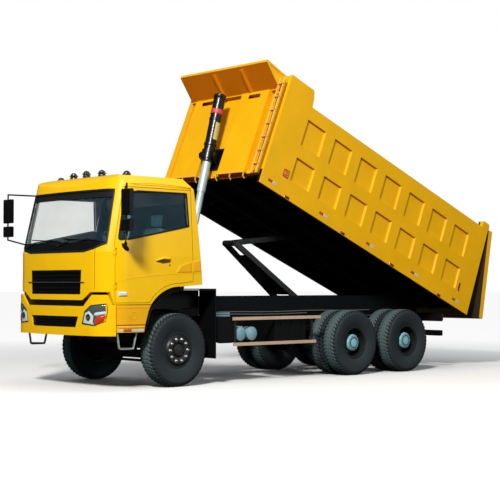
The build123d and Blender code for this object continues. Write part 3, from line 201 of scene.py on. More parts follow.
# Worn edge: where the rounded normal leaves the flat one, an edge has lost some of its coat.
worn_edge, given, put = new_group(
    "Worn edge", {"Color": (0.5, 0.5, 0.5), "Edge Color": (0.3, 0.3, 0.3), "Amount": 0.5},
    {"Color": "Color", "Normal": "Vector"})
round_off = worn_edge.nodes.new("ShaderNodeBevel")
round_off.samples = 4
round_off.inputs["Radius"].default_value = 0.006
plain = worn_edge.nodes.new("ShaderNodeNewGeometry")
agree = worn_edge.nodes.new("ShaderNodeVectorMath")
agree.operation = "DOT_PRODUCT"
worn_edge.links.new(round_off.outputs["Normal"], agree.inputs[0])
worn_edge.links.new(plain.outputs["Normal"], agree.inputs[1])
edge = maths(worn_edge, "SUBTRACT", 0.985, agree.outputs["Value"])
edge = maths(worn_edge, "MULTIPLY", edge, 9.0, clamp=True)
chips = maths(worn_edge, "MULTIPLY_ADD", blotches(worn_edge, 14.0, 5.0, 0.7), 3.0, -1.1, clamp=True)
edge = maths(worn_edge, "MULTIPLY", edge, chips)
edge = maths(worn_edge, "MULTIPLY", edge, given["Amount"], clamp=True)
feed(worn_edge, put["Color"], mix(worn_edge, edge, given["Color"], given["Edge Color"]))
feed(worn_edge, put["Normal"], round_off.outputs["Normal"])

# Fine grain: two noises added, for cast, sprayed or moulded surfaces.
fine_grain, given, put = new_group("Fine grain", {"Scale": 200.0, "Height": 0.3}, {"Height": "Float"})
tooth = maths(fine_grain, "MULTIPLY", blotches(fine_grain, given["Scale"], 3.0, 0.6), given["Height"])
wave = maths(fine_grain, "MULTIPLY", blotches(fine_grain, 9.0, 2.0, 0.5), 0.25)
feed(fine_grain, put["Height"], maths(fine_grain, "ADD", tooth, wave))


def new_finish(name):
    """Empty material, its node tree and its shader's inputs."""
    made = bpy.data.materials.new(name)
    made.use_nodes = True
    return made, made.node_tree, made.node_tree.nodes["Principled BSDF"].inputs


def raised(tree, height, strength, distance):
    """Bump node over a height, whose inputs and normal come back."""
    lift = tree.nodes.new("ShaderNodeBump")
    lift.inputs["Strength"].default_value = strength
    lift.inputs["Distance"].default_value = distance
    tree.links.new(height, lift.inputs["Height"])
    return lift.inputs, lift.outputs["Normal"]


def coat(name, color, edge_color, roughness, metallic=0.0, edge=0.5, dust=0.5, top=1.2, grain=(300.0, 0.2),
         bump=0.004, clear=0.0, variation=0.06, dust_color=(0.30, 0.27, 0.23), shine=0.5):
    """Painted, cast or moulded finish: colour varied by noise, worn edges, road dust and a fine grain."""
    made, tree, shader = new_finish(name)
    darker = [c * (1 - 2.2 * variation) for c in color]
    lighter = [min(1.0, c * (1 + variation)) for c in color]
    tone = maths(tree, "MULTIPLY_ADD", blotches(tree, 2.2, 5.0), 1.8, -0.4, clamp=True)
    chip = placed(tree, worn_edge, color=mix(tree, tone, darker, lighter), edge_color=edge_color, amount=edge)
    dirt = placed(tree, road_dust, color=chip["Color"], dust_color=dust_color, amount=dust, top=top,
                  roughness=roughness)
    height = placed(tree, fine_grain, scale=grain[0], height=grain[1])["Height"]
    lift, normal = raised(tree, height, 0.35, bump)
    feed(tree, lift["Normal"], chip["Normal"])
    for label, value in (("Base Color", dirt["Color"]), ("Roughness", dirt["Roughness"]), ("Normal", normal),
                         ("Metallic", metallic), ("Specular IOR Level", shine), ("Coat Weight", clear),
                         ("Coat Roughness", 0.08)):
        feed(tree, shader[label], value)
    return made


chassis_black = coat("Chassis black", (0.0025, 0.003, 0.0035), (0.035, 0.035, 0.03), 0.50, edge=0.35,
                     dust=0.03, top=1.1, grain=(220.0, 0.35), variation=0.12, shine=0.15)
dress(chassis_black, "frame_rails", "tow_eyes", "crossmembers", "subframe", "hoist_bracket")
member_bolts, frame_bolts, pair_half = np.arange(-3.2, 4.2, 0.30), np.arange(-2.7, 2.0, 0.62), 0.045
bolt_rows = [(member_bolts, 0.885, 0.015, 0.009), (member_bolts, 1.095, 0.015, 0.009),
             (frame_bolts - pair_half, 1.185, 0.014, 0.010), (frame_bolts + pair_half, 1.185, 0.014, 0.010)]
rail_bolts = []
for side in (1, -1):
    for along, height, radius, thick in bolt_rows:
        spots = np.stack([along, np.full(len(along), side * rail_face), np.full(len(along), height)], 1)
        rail_bolts.append(bolt_heads(spots, (0, side, 0), radius, thick))
piece("rail_bolts", rail_bolts, chassis_black, "chassis")


# ---- Engine, drive line, axles and springs ---------------------------------------------------
# Cast iron housings and forged shafts under a thin factory grey, the springs stacks of flat
# steel leaves held by U bolts. Road film and oil leave them darker and rougher than the frame.
forged_grey = coat("Forged grey", (0.009, 0.011, 0.012), (0.07, 0.065, 0.06), 0.58, metallic=0.2, dust=0.10,
                   top=1.0, grain=(120.0, 0.8), bump=0.006, variation=0.16)
spring_steel = coat("Spring steel", (0.009, 0.009, 0.009), (0.07, 0.05, 0.04), 0.6, metallic=0.3, edge=0.5,
                    dust=0.10, top=1.0, grain=(90.0, 0.6), variation=0.18)
dress(forged_grey, "engine_block", "driveline", "front_axle", "rear_axles", "knuckle_left", "knuckle_right",
      "tie_rod")
dress(spring_steel, "leaf_springs")


def sweep(path, outline, level=(0, 0, 1), closed=False):
    """Outline of (side, height) points carried along a path: each ring is the path's point plus
    side times the level direction's cross product with the tangent, plus height times their normal."""
    path, outline = np.asarray(path, float), np.asarray(outline, float)
    tangent = np.roll(path, -1, 0) - np.roll(path, 1, 0) if closed else np.gradient(path, axis=0)
    tangent /= np.linalg.norm(tangent, axis=1)[:, None]
    across = np.cross(np.broadcast_to(level, tangent.shape), tangent)
    across /= np.linalg.norm(across, axis=1)[:, None]
    rise = np.cross(tangent, across)
    rings = path[:, None] + outline[None, :, :1] * across[:, None] + outline[None, :, 1:] * rise[:, None]
    n, m = len(path), len(outline)
    faces = net(n, m, rows_close=closed).tolist()
    if not closed:
        faces += [list(range(m))[::-1], list(range((n - 1) * m, n * m))]
    return rings.reshape(-1, 3), faces


def on_circle(centre, radius, count, plane, start=0.0):
    """Even points of a circle about a centre: radius times the cosine and sine of the angle are added
    to the two coordinates that the plane names."""
    angle = start + np.arange(count) * 2 * np.pi / count
    spots = np.tile(np.asarray(centre, float), (count, 1))
    spots[:, plane[0]] += radius * np.cos(angle)
    spots[:, plane[1]] += radius * np.sin(angle)
    return spots


def rod(radius, count=8):
    """Round outline: a circle of points."""
    return on_circle((0, 0), radius, count, (0, 1))


mid_axle, rear_axle, wheel_r = FRONT - 3.8, FRONT - 5.15, 0.550
spring_y, bolt_foot, bolt_bend, bolt_half, crown = 0.385, 0.50, 0.690, 0.053, 0.030
turn = np.linspace(0, np.pi, 9)
bolt_y = np.r_[spring_y - bolt_half, spring_y - bolt_half * np.cos(turn), spring_y + bolt_half]
bolt_z = np.r_[bolt_foot, bolt_bend + crown * np.sin(turn), bolt_foot]
u_bolts = []
for side in (1, -1):
    for x in (mid_axle, rear_axle):
        for shift in (-0.050, 0.050):
            path = np.stack([np.full(len(bolt_y), x + shift), side * bolt_y, bolt_z], 1)
            u_bolts.append(sweep(path, rod(0.009), level=(1, 0, 0)))
piece("spring_u_bolts", u_bolts, spring_steel, "chassis")
flange_x, shaft_height, flange_ring = 0.218, 0.61, 0.058
flange_bolts = []
for x in (mid_axle, rear_axle):
    spots = on_circle((x + flange_x, 0, shaft_height), flange_ring, 8, (1, 2))
    flange_bolts.append(bolt_heads(spots, (1, 0, 0), 0.008, 0.012))
piece("shaft_flange_bolts", flange_bolts, forged_grey, "chassis")


# ---- Tyres -----------------------------------------------------------------------------------
# Radial truck tyres of carbon black rubber, moulded with shoulder lugs, a zigzag centre rib and
# raised rings on the side wall. Each is pressed over its rim's bead seats.
tyre_w, tread_half, groove_depth, pitches = 0.290, 0.103, 0.0170, 52


def tread_height(around, across):
    """Depth pressed out of the tread: shoulder lugs are cut by cross grooves that lean the two ways,
    and two zigzag grooves follow a triangle wave round the tyre beside the centre rib."""
    lean = around + 1.8 * np.abs(across)
    cross = np.clip((np.abs(((lean + 0.25 * (across > 0)) % 1) - 0.5) - 0.30) * 9, 0, 1)
    shoulder = np.clip((np.abs(across) - 0.40) * 9, 0, 1)
    zigzag = 0.045 * (2 * np.abs(2 * (around % 1) - 1) - 1)
    groove = np.clip(1 - np.abs(np.abs(across + zigzag) - 0.36) * 22, 0, 1)
    middle = np.clip(1 - np.abs(across + zigzag * 0.7) * 26, 0, 1)
    centre_cut = np.clip((np.abs(((around * 2 + 0.25) % 1) - 0.5) - 0.38) * 9, 0, 1) * (np.abs(across) < 0.36)
    return np.maximum.reduce([cross * shoulder, groove * 0.9, middle * 0.7, centre_cut * 0.45])


def tyre(centre, start):
    """Tyre surface on a grid of angle and section: the section runs from bead to bead over side walls
    that bulge as a sine and a tread with a shallow crown. Grooves are cut along the radius, and rings
    stand out from the side walls as narrow bell curves."""
    count = pitches * 7
    angle = np.arange(count) * 2 * np.pi / count
    half, bead_half, bead_r, wall_top = tyre_w / 2, 0.100, 0.282, 0.514
    wall = np.linspace(0, 1, 13)
    wall_r = bead_r + (wall_top - bead_r) * wall
    wall_y = bead_half + (half - bead_half) * np.sin(np.pi * (0.05 + 0.62 * wall)) ** 0.8
    wall_y[-1] = 0.1275
    shoulder_r, shoulder_y = np.array([0.528, 0.541, 0.5462]), np.array([0.1245, 0.1150, tread_half])
    tread_y = np.linspace(0.092, -0.092, 22)
    tread_r = wheel_r - 0.0032 * (tread_y / tread_half) ** 2
    lip_r, lip_y = np.array([0.2565, 0.2565, 0.268]), np.array([0.070, 0.094, 0.0995])
    r = np.r_[lip_r, wall_r, shoulder_r, tread_r, shoulder_r[::-1], wall_r[::-1], lip_r[::-1]]
    y = np.r_[lip_y, wall_y, shoulder_y, tread_y, -shoulder_y[::-1], -wall_y[::-1], -lip_y[::-1]]
    a, s = np.meshgrid(angle, np.arange(len(r)), indexing="ij")
    radius, across = r[s], y[s]
    unit = across / half
    cut = tread_height(a / (2 * np.pi) * pitches, unit)
    radius = radius - groove_depth * cut * np.clip((radius - 0.500) / 0.030, 0, 1)
    pull = 0.006 * cut * np.clip((radius - 0.49) / 0.03, 0, 1) * (np.abs(unit) > 0.8)
    across = across - np.sign(across) * pull
    inner_ring, outer_ring, ring_height = 0.335, 0.478, 0.0035
    rings = np.exp(-((radius - inner_ring) / 0.0028) ** 2) + np.exp(-((radius - outer_ring) / 0.003) ** 2)
    across = across + np.sign(across) * ring_height * rings * (radius < 0.50)
    spin = a + start
    verts = np.asarray(centre) + np.stack([radius * np.cos(spin), across, radius * np.sin(spin)], -1)
    return verts.reshape(-1, 3), net(count, len(r), rows_close=True).tolist()


def rubber(name, tone):
    """Carbon black rubber: noise-mottled colour, dust held in the tread, and a fine moulded tooth."""
    return coat(name, (tone * 0.62, tone, tone * 1.12), (0.03, 0.045, 0.05), 0.62, edge=0.5, dust=0.30,
                top=0.9, grain=(260.0, 0.5), bump=0.003, variation=0.14, dust_color=(0.075, 0.090, 0.090),
                shine=0.40)


def over_paint(made, factor, color):
    """Lay a second colour over a finish where a factor between 0 and 1 says so."""
    tree = made.node_tree
    base = tree.nodes["Principled BSDF"].inputs["Base Color"]
    tree.links.new(mix(tree, factor(tree), base.links[0].from_socket, color), base)
    return made


tyre_rubber = rubber("Tyre rubber", 0.024)
scuff_shade_node = tyre_rubber.node_tree.nodes.new("ShaderNodeAttribute")
scuff_shade_node.attribute_name = "lug_scuff_and_groove_shade"
scuff_and_shade = scuff_shade_node.outputs["Fac"]
# Grooves painted darker as shade; lug tops painted lighter, for scuffing and as painted highlight.
over_paint(tyre_rubber, lambda tree: maths(tree, "MAXIMUM", maths(tree, "SUBTRACT", 0.0, scuff_and_shade), 0.0),
           (0.002, 0.003, 0.003))
over_paint(tyre_rubber, lambda tree: maths(tree, "MULTIPLY", scuff_and_shade, 1.0, clamp=True), (0.085, 0.128, 0.128))


def fit_tyres(name, shapes, x, node, body):
    """Tyres of one wheel in place of their plain node. Each point keeps a mark by its distance from the axle:
    rising to 1 on the lugs' scuffed tops, lightened also as painted highlight, -1 down in the grooves,
    darkened as painted shade, and 0 on the side walls."""
    made = piece(name, shapes, tyre_rubber, body)
    spots = np.empty(len(made.data.vertices) * 3)
    made.data.vertices.foreach_get("co", spots)
    spots = spots.reshape(-1, 3)
    out = np.hypot(spots[:, 0] - x, spots[:, 2] - wheel_r)
    tread_from, half_worn = 0.526, 0.5405
    scuff_and_shade = np.where(out > tread_from, np.clip((out - half_worn) / 0.0045, -1, 1), 0.0)
    made.data.attributes.new("lug_scuff_and_groove_shade", "FLOAT", "POINT").data.foreach_set("value", scuff_and_shade.astype(np.float32))
    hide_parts(node)


hands = ((1, "left"), (-1, "right"))
rear_wheels = ((mid_axle, "mid"), (rear_axle, "rear"))
front_half, rear_half, twin = 1.020, 0.930, 0.170
for side, hand in hands:
    fit_tyres("tread_tyre_front_" + hand, [tyre((FRONT, side * front_half, wheel_r), 0.02)], FRONT,
              "tyre_front_" + hand, "wheel_front_" + hand)
    for x, place in rear_wheels:
        pair = [tyre((x, side * rear_half + shift, wheel_r), 0.4 + 3 * shift) for shift in (-twin, twin)]
        wheel = "%s_%s" % (place, hand)
        fit_tyres("tread_tyres_" + wheel, pair, x, "tyres_" + wheel, "wheel_" + wheel)


# ---- Rims, hubs and wheel nuts ---------------------------------------------------------------
# Pressed steel disc wheels, welded to rolled rims and sprayed black. Ten nuts clamp each to its
# hub; the twin wheels' hubs carry a pale enamelled cap.
rim_black = coat("Rim black", (0.010, 0.012, 0.013), (0.09, 0.065, 0.045), 0.40, edge=0.8, dust=0.12, top=1.0,
                 grain=(240.0, 0.25), variation=0.12, shine=0.4)
cap_enamel = coat("Cap enamel", (0.24, 0.54, 0.60), (0.14, 0.20, 0.20), 0.35, edge=0.4, dust=0.15, top=1.0,
                  grain=(200.0, 0.15), clear=0.3)
nut_zinc = coat("Nut zinc", (0.55, 0.56, 0.56), (0.30, 0.22, 0.15), 0.38, metallic=0.9, edge=0.7, dust=0.3,
                top=1.1, grain=(150.0, 0.3))
# Brown-grey lock ring on the outer rims: bare steel, kept lighter than the rim as painted highlight on the
# lip.
lip_steel_and_highlight = coat("Rim lip and painted highlight", (0.055, 0.050, 0.044), (0.14, 0.12, 0.10), 0.42, metallic=0.3, edge=0.8, dust=0.3,
                 top=1.1, grain=(240.0, 0.3), variation=0.15)
dress(rim_black, "rim_front_left", "rim_front_right", "rims_mid_left", "rims_mid_right", "rims_rear_left",
      "rims_rear_right")
nut_ring, disc_face, rear_face = 0.1675, 0.1335, 0.012      # nuts' circle and the faces they clamp
hub_ring, hub_face, cap_ring, cap_flange = 0.070, 0.154, 0.126, 0.246
lip = [(0.250, 0.070), (0.256, 0.092), (0.263, 0.1015), (0.275, 0.104), (0.281, 0.1015), (0.2825, 0.097),
       (0.276, 0.0995), (0.266, 0.097), (0.2585, 0.088), (0.2565, 0.070)]
dish = [(0.2545, 0.075), (0.250, 0.096), (0.240, 0.101), (0.226, 0.105), (0.216, 0.116), (0.211, 0.128),
        (0.204, disc_face), (0.120, disc_face), (0.112, 0.131), (0.106, 0.120), (0.106, 0.080)]
dome = [(0.1385, 0.092), (0.1385, 0.207), (0.1405, 0.215), (0.1405, 0.230), (0.134, 0.240), (0.112, 0.2565),
        (0.098, 0.2595), (0.094, 0.2565), (0.060, 0.262), (0.020, 0.2655), (0, 0.2658)]
front_stud = [(0, 0), (0.011, 0), (0.011, 0.032), (0.008, 0.035), (0, 0.035)]
rear_stud = [(0, 0), (0.011, 0), (0.011, 0.050), (0, 0.054)]
washer = [(0, 0), (0.026, 0), (0.026, 0.004), (0, 0.004)]
for side, hand in hands:
    out = (0, side, 0)
    body = "wheel_front_" + hand
    middle = (FRONT, side * front_half, wheel_r)
    piece("front_disc_" + hand, [turned(dish, middle, out, 72)], rim_black, body)
    piece("rim_lip_front_" + hand, [turned(lip, middle, out, 72)], rim_black, body)
    spots = on_circle((FRONT, side * (front_half + disc_face), wheel_r), nut_ring, 10, (0, 2))
    nuts = [bolt_heads(spots, out, 0.019, 0.022), repeated(turned(front_stud, (0, 0, 0), out, 10), spots),
            repeated(turned(washer, (0, 0, 0), out, 16), spots)]
    piece("wheel_nuts_front_" + hand, nuts, nut_zinc, body)
    spots = on_circle((FRONT, side * (front_half + hub_face), wheel_r), hub_ring, 8, (0, 2), start=0.2)
    piece("hub_cap_bolts_front_" + hand, [bolt_heads(spots, out, 0.008, 0.007)], rim_black, body)
    for x, place in rear_wheels:
        wheel = "%s_%s" % (place, hand)
        body = "wheel_" + wheel
        outer = (x, side * (rear_half + twin), wheel_r)
        piece("rim_lip_" + wheel, [turned(lip, outer, out, 72)], lip_steel_and_highlight, body)
        spots = on_circle((x, side * (rear_half + rear_face), wheel_r), nut_ring, 10, (0, 2))
        nuts = [bolt_heads(spots, out, 0.021, 0.032), repeated(turned(rear_stud, (0, 0, 0), out, 10), spots)]
        piece("wheel_nuts_" + wheel, nuts, nut_zinc, body)
        piece("hub_cap_" + wheel, [turned(dome, (x, side * rear_half, wheel_r), out, 56)], cap_enamel, body)
        spots = on_circle((x, side * (rear_half + cap_flange), wheel_r), cap_ring, 12, (0, 2))
        piece("hub_cap_bolts_" + wheel, [bolt_heads(spots, out, 0.007, 0.008)], nut_zinc, body)
for side, hand in hands:
    x, y, z = FRONT, side * (front_half + 0.055), wheel_r + 0.02
    stem = [(x + 0.225, y, z), (x + 0.222, y + side * 0.025, z), (x + 0.215, y + side * 0.055, z)]
    piece("valve_stem_front_" + hand, [sweep(stem, rod(0.006))], nut_zinc, "wheel_front_" + hand)


# ---- Tanks, battery box, side guards and tail ------------------------------------------------
# Rolled steel air reservoirs in pale blue-grey and a pressed black fuel tank, strapped to the rail.
# The guards are painted channel, the underrun a box beam, the tail lamps moulded red acrylic.
tank_paint = coat("Tank blue grey", (0.20, 0.36, 0.42), (0.12, 0.11, 0.10), 0.42, dust=0.25, top=1.0,
                  grain=(220.0, 0.2), variation=0.10)
guard_paint = coat("Guard tan", (0.58, 0.41, 0.27), (0.14, 0.09, 0.05), 0.5, dust=0.15, top=1.0,
                   grain=(220.0, 0.25), variation=0.08)


def component(tree, output, direction):
    """Dot product of an own-coordinate output, Object or Normal, with a fixed direction."""
    dot = tree.nodes.new("ShaderNodeVectorMath")
    dot.operation = "DOT_PRODUCT"
    tree.links.new(tree.nodes.new("ShaderNodeTexCoord").outputs[output], dot.inputs[0])
    dot.inputs[1].default_value = direction
    return dot.outputs["Value"]


def within(half):
    """Factor for over_paint: 1 where a point lies nearer to the middle plane than half."""
    def factor(tree):
        return maths(tree, "LESS_THAN", maths(tree, "ABSOLUTE", component(tree, "Object", (0, 1, 0))), half)
    return factor


def beyond(output, direction, least):
    """Factor for over_paint: 1 where a coordinate or normal reaches more than least along a direction."""
    return lambda tree: maths(tree, "GREATER_THAN", component(tree, output, direction), least)


guard_back = 1.1205                                          # behind the channel stand its black posts
over_paint(guard_paint, within(guard_back), (0.008, 0.008, 0.009))
dress(tank_paint, "air_tanks")
dress(guard_paint, "side_guards")
dress(chassis_black, "battery_box", "rear_underrun", "fuel_tank")


def lens(name, color, roughness=0.12, glow=0.0):
    """Moulded acrylic lens: tinted, clear-coated and fluted by a fine wave on its own coordinates."""
    made, tree, shader = new_finish(name)
    dark = [c * 0.55 for c in color]
    flute = tree.nodes.new("ShaderNodeTexWave")
    flute.inputs["Scale"].default_value = 60.0
    flute.inputs["Distortion"].default_value = 0.4
    tree.links.new(tree.nodes.new("ShaderNodeTexCoord").outputs["Object"], flute.inputs["Vector"])
    normal = raised(tree, flute.outputs["Fac"], 0.4, 0.002)[1]
    for label, value in (("Base Color", mix(tree, blotches(tree, 30.0), dark, color)), ("Normal", normal),
                         ("Roughness", roughness), ("Coat Weight", 0.6), ("Emission Color", color),
                         ("Emission Strength", glow)):
        feed(tree, shader[label], value)
    return made


def soft_box(width, height, edge, per=3):
    """Rectangle with its corners rounded: a quarter circle of radius edge about each corner's centre."""
    turn = np.linspace(0, np.pi / 2, per)
    quarter = np.arange(4)[:, None] * np.pi / 2 + turn[None]
    sx, sy = np.array([1, -1, -1, 1])[:, None], np.array([1, 1, -1, -1])[:, None]
    x = sx * (width / 2 - edge) + edge * np.cos(quarter)
    y = sy * (height / 2 - edge) + edge * np.sin(quarter)
    return np.stack([x.ravel(), y.ravel()], 1)


def line_at(x, y, z):
    """Path from three coordinates, each a number or an array along it."""
    return np.stack(np.broadcast_arrays(x, y, z), 1).astype(float)


red_lens = lens("Red lens", (0.30, 0.014, 0.012))
lens_back = FRONT - 6.3505                                   # ahead of it is the lamps' black board
over_paint(red_lens, beyond("Object", (1, 0, 0), lens_back), (0.010, 0.008, 0.008))
dress(red_lens, "tail_lamps")
corner = np.array([(-0.478, 0.63), (-0.478, 1.01), (-0.50, 1.062), (-0.55, 1.083), (-1.05, 1.083),
                   (-1.10, 1.062), (-1.123, 1.01), (-1.123, 0.63), (-1.10, 0.578), (-1.05, 0.557),
                   (-0.55, 0.557), (-0.50, 0.578)])
straps = [sweep(line_at(FRONT - back, corner[:, 0], corner[:, 1]), soft_box(0.05, 0.005, 0.002, 2),
                level=(1, 0, 0), closed=True) for back in (2.45, 1.95)]
piece("tank_straps", straps, chassis_black, "chassis")
air_places, air_height, air_r, air_end = (FRONT - 1.30, FRONT - 1.54), 0.760, 0.1065, 1.0905
band_in, band_out, band_half = air_r + 0.001, air_r + 0.0055, 0.02
band = [(band_in, -band_half), (band_out, -band_half), (band_out, band_half), (band_in, band_half)]
bands = [turned(band, (x, y, air_height), (0, 1, 0), 36) for x in air_places for y in (0.56, 0.94)]
piece("air_tank_bands", bands, chassis_black, "chassis")
head = [(0, 0.020), (0.035, 0.019), (0.075, 0.012), (air_r, 0.0), (air_r, -0.004), (0, -0.004)]
ends = [turned(head, (x, air_end, air_height), (0, 1, 0), 36) for x in air_places]
can_y, lid_y, rim_y, cap_y = [(FRONT - 0.985, y, 0.830) for y in (0.480, 1.075, 1.098, 1.108)]
silencer = [sweep([can_y, lid_y], soft_box(0.40, 0.40, 0.09, 6)),
            sweep([lid_y, rim_y], soft_box(0.415, 0.415, 0.09, 6)),
            sweep([rim_y, cap_y], soft_box(0.375, 0.375, 0.08, 6))]
piece("silencer", silencer, chassis_black, "chassis")
pipe_grey = coat("Pipe grey", (0.16, 0.17, 0.16), (0.3, 0.3, 0.3), 0.45, metallic=0.3, edge=0.3, dust=0.1,
                 grain=(300.0, 0.2))
pipes, pipe_y = [], rail_face + 0.022
for side in (1, -1):
    for z, start, end in ((1.085, -1.20, -5.0), (1.045, -0.95, -3.4), (0.985, -1.05, -5.6)):
        run = np.linspace(start, end, 15)
        path = line_at(FRONT + run, side * (pipe_y + 0.004 * np.sin(run * 5)), z + 0.006 * np.sin(run * 3.1))
        pipes.append(sweep(path, rod(0.008)))
piece("brake_pipes", pipes, pipe_grey, "chassis")
piece("air_tank_ends", ends, tank_paint, "chassis")


# ---- Cab shell ------------------------------------------------------------------------------
# Spot-welded pressed steel cab in two-pack yellow enamel over primer, tilting on the front of the
# frame. Its folds and shut lines are soft-edged; drip rails, seams and a lower crease are pressed in.
yellow_enamel = coat("Yellow enamel", (0.92, 0.525, 0.001), (0.50, 0.28, 0.03), 0.28, edge=0.15, dust=0.08,
                     top=1.2, grain=(420.0, 0.10), bump=0.0015, clear=0.12, variation=0.030,
                     dust_color=(0.40, 0.27, 0.08), shine=0.22)
# Darker copy of the yellow enamel: painted shade on the lower side steps, the door and cab wedges and the
# step beads.
shade_painted_enamel = coat("Painted shade enamel", (0.88, 0.43, 0.002), (0.40, 0.20, 0.03), 0.34, edge=0.3, dust=0.2,
                     top=1.2, grain=(420.0, 0.12), bump=0.0015, clear=0.1, variation=0.05,
                     dust_color=(0.34, 0.20, 0.06), shine=0.22)
# Dark brown for the shut lines between panels, and painted shade in the door handle's recess.
shut_line_and_recess_shade = coat("Shut line and recess shade", (0.10, 0.040, 0.006), (0.10, 0.05, 0.02), 0.7, edge=0.0, dust=0.2,
                 grain=(300.0, 0.2))


def like(finish, name):
    """Second finish that starts out as another one."""
    made = finish.copy()
    made.name = name
    return made


def inward_trim_and_shade(tree):
    """1 on the walls that face the middle of the cab: dark trim on the walls inside the cab, and painted
    shade on the inner walls of recesses such as the bumper slot. The way out from that middle and the wall's
    normal point against each other."""
    way = tree.nodes.new("ShaderNodeVectorMath")
    way.operation = "SUBTRACT"
    coords = tree.nodes.new("ShaderNodeTexCoord")
    tree.links.new(coords.outputs["Object"], way.inputs[0])
    way.inputs[1].default_value = (FRONT + 0.55, 0.0, 2.2)
    dot = tree.nodes.new("ShaderNodeVectorMath")
    dot.operation = "DOT_PRODUCT"
    tree.links.new(way.outputs[0], dot.inputs[0])
    tree.links.new(coords.outputs["Normal"], dot.inputs[1])
    return maths(tree, "LESS_THAN", dot.outputs["Value"], -0.32)


# Inward-facing walls painted near black: trim inside the cab, and painted shade in the recesses.
lined_and_shaded_enamel = over_paint(like(yellow_enamel, "Lined and shaded enamel"), inward_trim_and_shade, (0.003, 0.005, 0.007))
dress(lined_and_shaded_enamel, "cab_shell", "door_left", "door_right")
cab_half, corner_r, corner_x, corner_y, bend_from, nose = 1.230, 0.413, 0.9943, 0.817, 0.860, 1.450
lean_from, lean, draw_from, draw = 2.0, 0.25, 1.95, 0.0396


def on_nose(points, proud):
    """Points across and up, put on the cab's face: it falls back as the square of the distance from the
    middle, turns round an arc at the corner, and leans back a quarter of what is above 2.0 m."""
    y, z = points[:, 0], points[:, 1]
    out = np.clip(np.abs(y) - corner_y, 0, corner_r - 0.002)
    turn = np.sqrt(corner_r ** 2 - out ** 2)
    bent = np.abs(y) > bend_from
    flat = nose - 0.045 * (y / bend_from) ** 2
    x = np.where(bent, corner_x + turn, flat) - lean * np.clip(z - lean_from, 0, None)
    normal = np.stack([np.where(bent, turn / corner_r, 1.0),
                       np.where(bent, np.sign(y) * out / corner_r, 0.122 * y), 0.24 * (z > lean_from)], 1)
    normal /= np.linalg.norm(normal, axis=1)[:, None]
    return np.stack([FRONT + x, y, z], 1) + np.asarray(proud)[..., None] * normal, normal


def proud_of_nose(more):
    """The cab's face moved out by a little more."""
    return lambda points, proud: on_nose(points, proud + more)


def on_flank(side):
    """Points ahead of the axle and up, put on the cab's side: plumb to 1.95 m, drawn in 40 mm over the
    next metre, and turned in along the corner's arc."""
    def place(points, proud):
        x, z = points[:, 0], points[:, 1]
        past = np.clip(x + lean * np.clip(z - lean_from, 0, None) - corner_x, 0, corner_r * 0.98)
        across = np.sqrt(corner_r ** 2 - past ** 2)
        y = cab_half - corner_r + across - draw * np.clip(z - draw_from, 0, None)
        normal = np.stack([past / corner_r, side * across / corner_r, 0.04 * (z > draw_from)], 1)
        return np.stack([FRONT + x, side * y, z], 1) + np.asarray(proud)[..., None] * normal, normal
    return place


def spaced(points, closed, gap):
    """Points set at even steps no wider than a gap along straight lines between the given ones."""
    points = np.asarray(points, float)
    start, end = (points, np.roll(points, -1, 0)) if closed else (points[:-1], points[1:])
    counts = np.maximum(1, np.ceil(np.linalg.norm(end - start, axis=1) / gap)).astype(int)
    done = np.repeat(np.cumsum(counts) - counts, counts)
    share = (np.arange(counts.sum()) - done) / np.repeat(counts, counts)
    path = np.repeat(start, counts, 0) + share[:, None] * np.repeat(end - start, counts, 0)
    return path if closed else np.vstack([path, points[-1]])


def cushion(outline, place, rise, skirt=0.004, power=6, gap=0.04, steps=7):
    """Cushion over an outline: rings drawn in to its middle stand proud by the rise times one less the
    ring's size to a power, and the rim and the closing face lie a skirt under the surface."""
    rim = spaced(outline, True, gap)
    middle = (rim.max(0) + rim.min(0)) / 2
    size = np.r_[0.0, 1.0, 1 - np.linspace(0, 1, steps) ** 1.6]
    height = np.r_[-skirt, -skirt, rise * (1 - size[2:] ** power)]
    flat = middle + size[:, None, None] * (rim - middle)
    verts = place(flat.reshape(-1, 2), np.repeat(height, len(rim)))[0]
    return verts, net(len(size), len(rim)).tolist()


def moulding(points, place, width, height, closed=False, gap=0.05):
    """Strip of rounded section laid half sunk along flat points on the surface that place gives."""
    path, normal = place(spaced(points, closed, gap), 0.0)
    return sweep(path, soft_box(width, height, 0.45 * min(width, height)), level=normal, closed=closed)


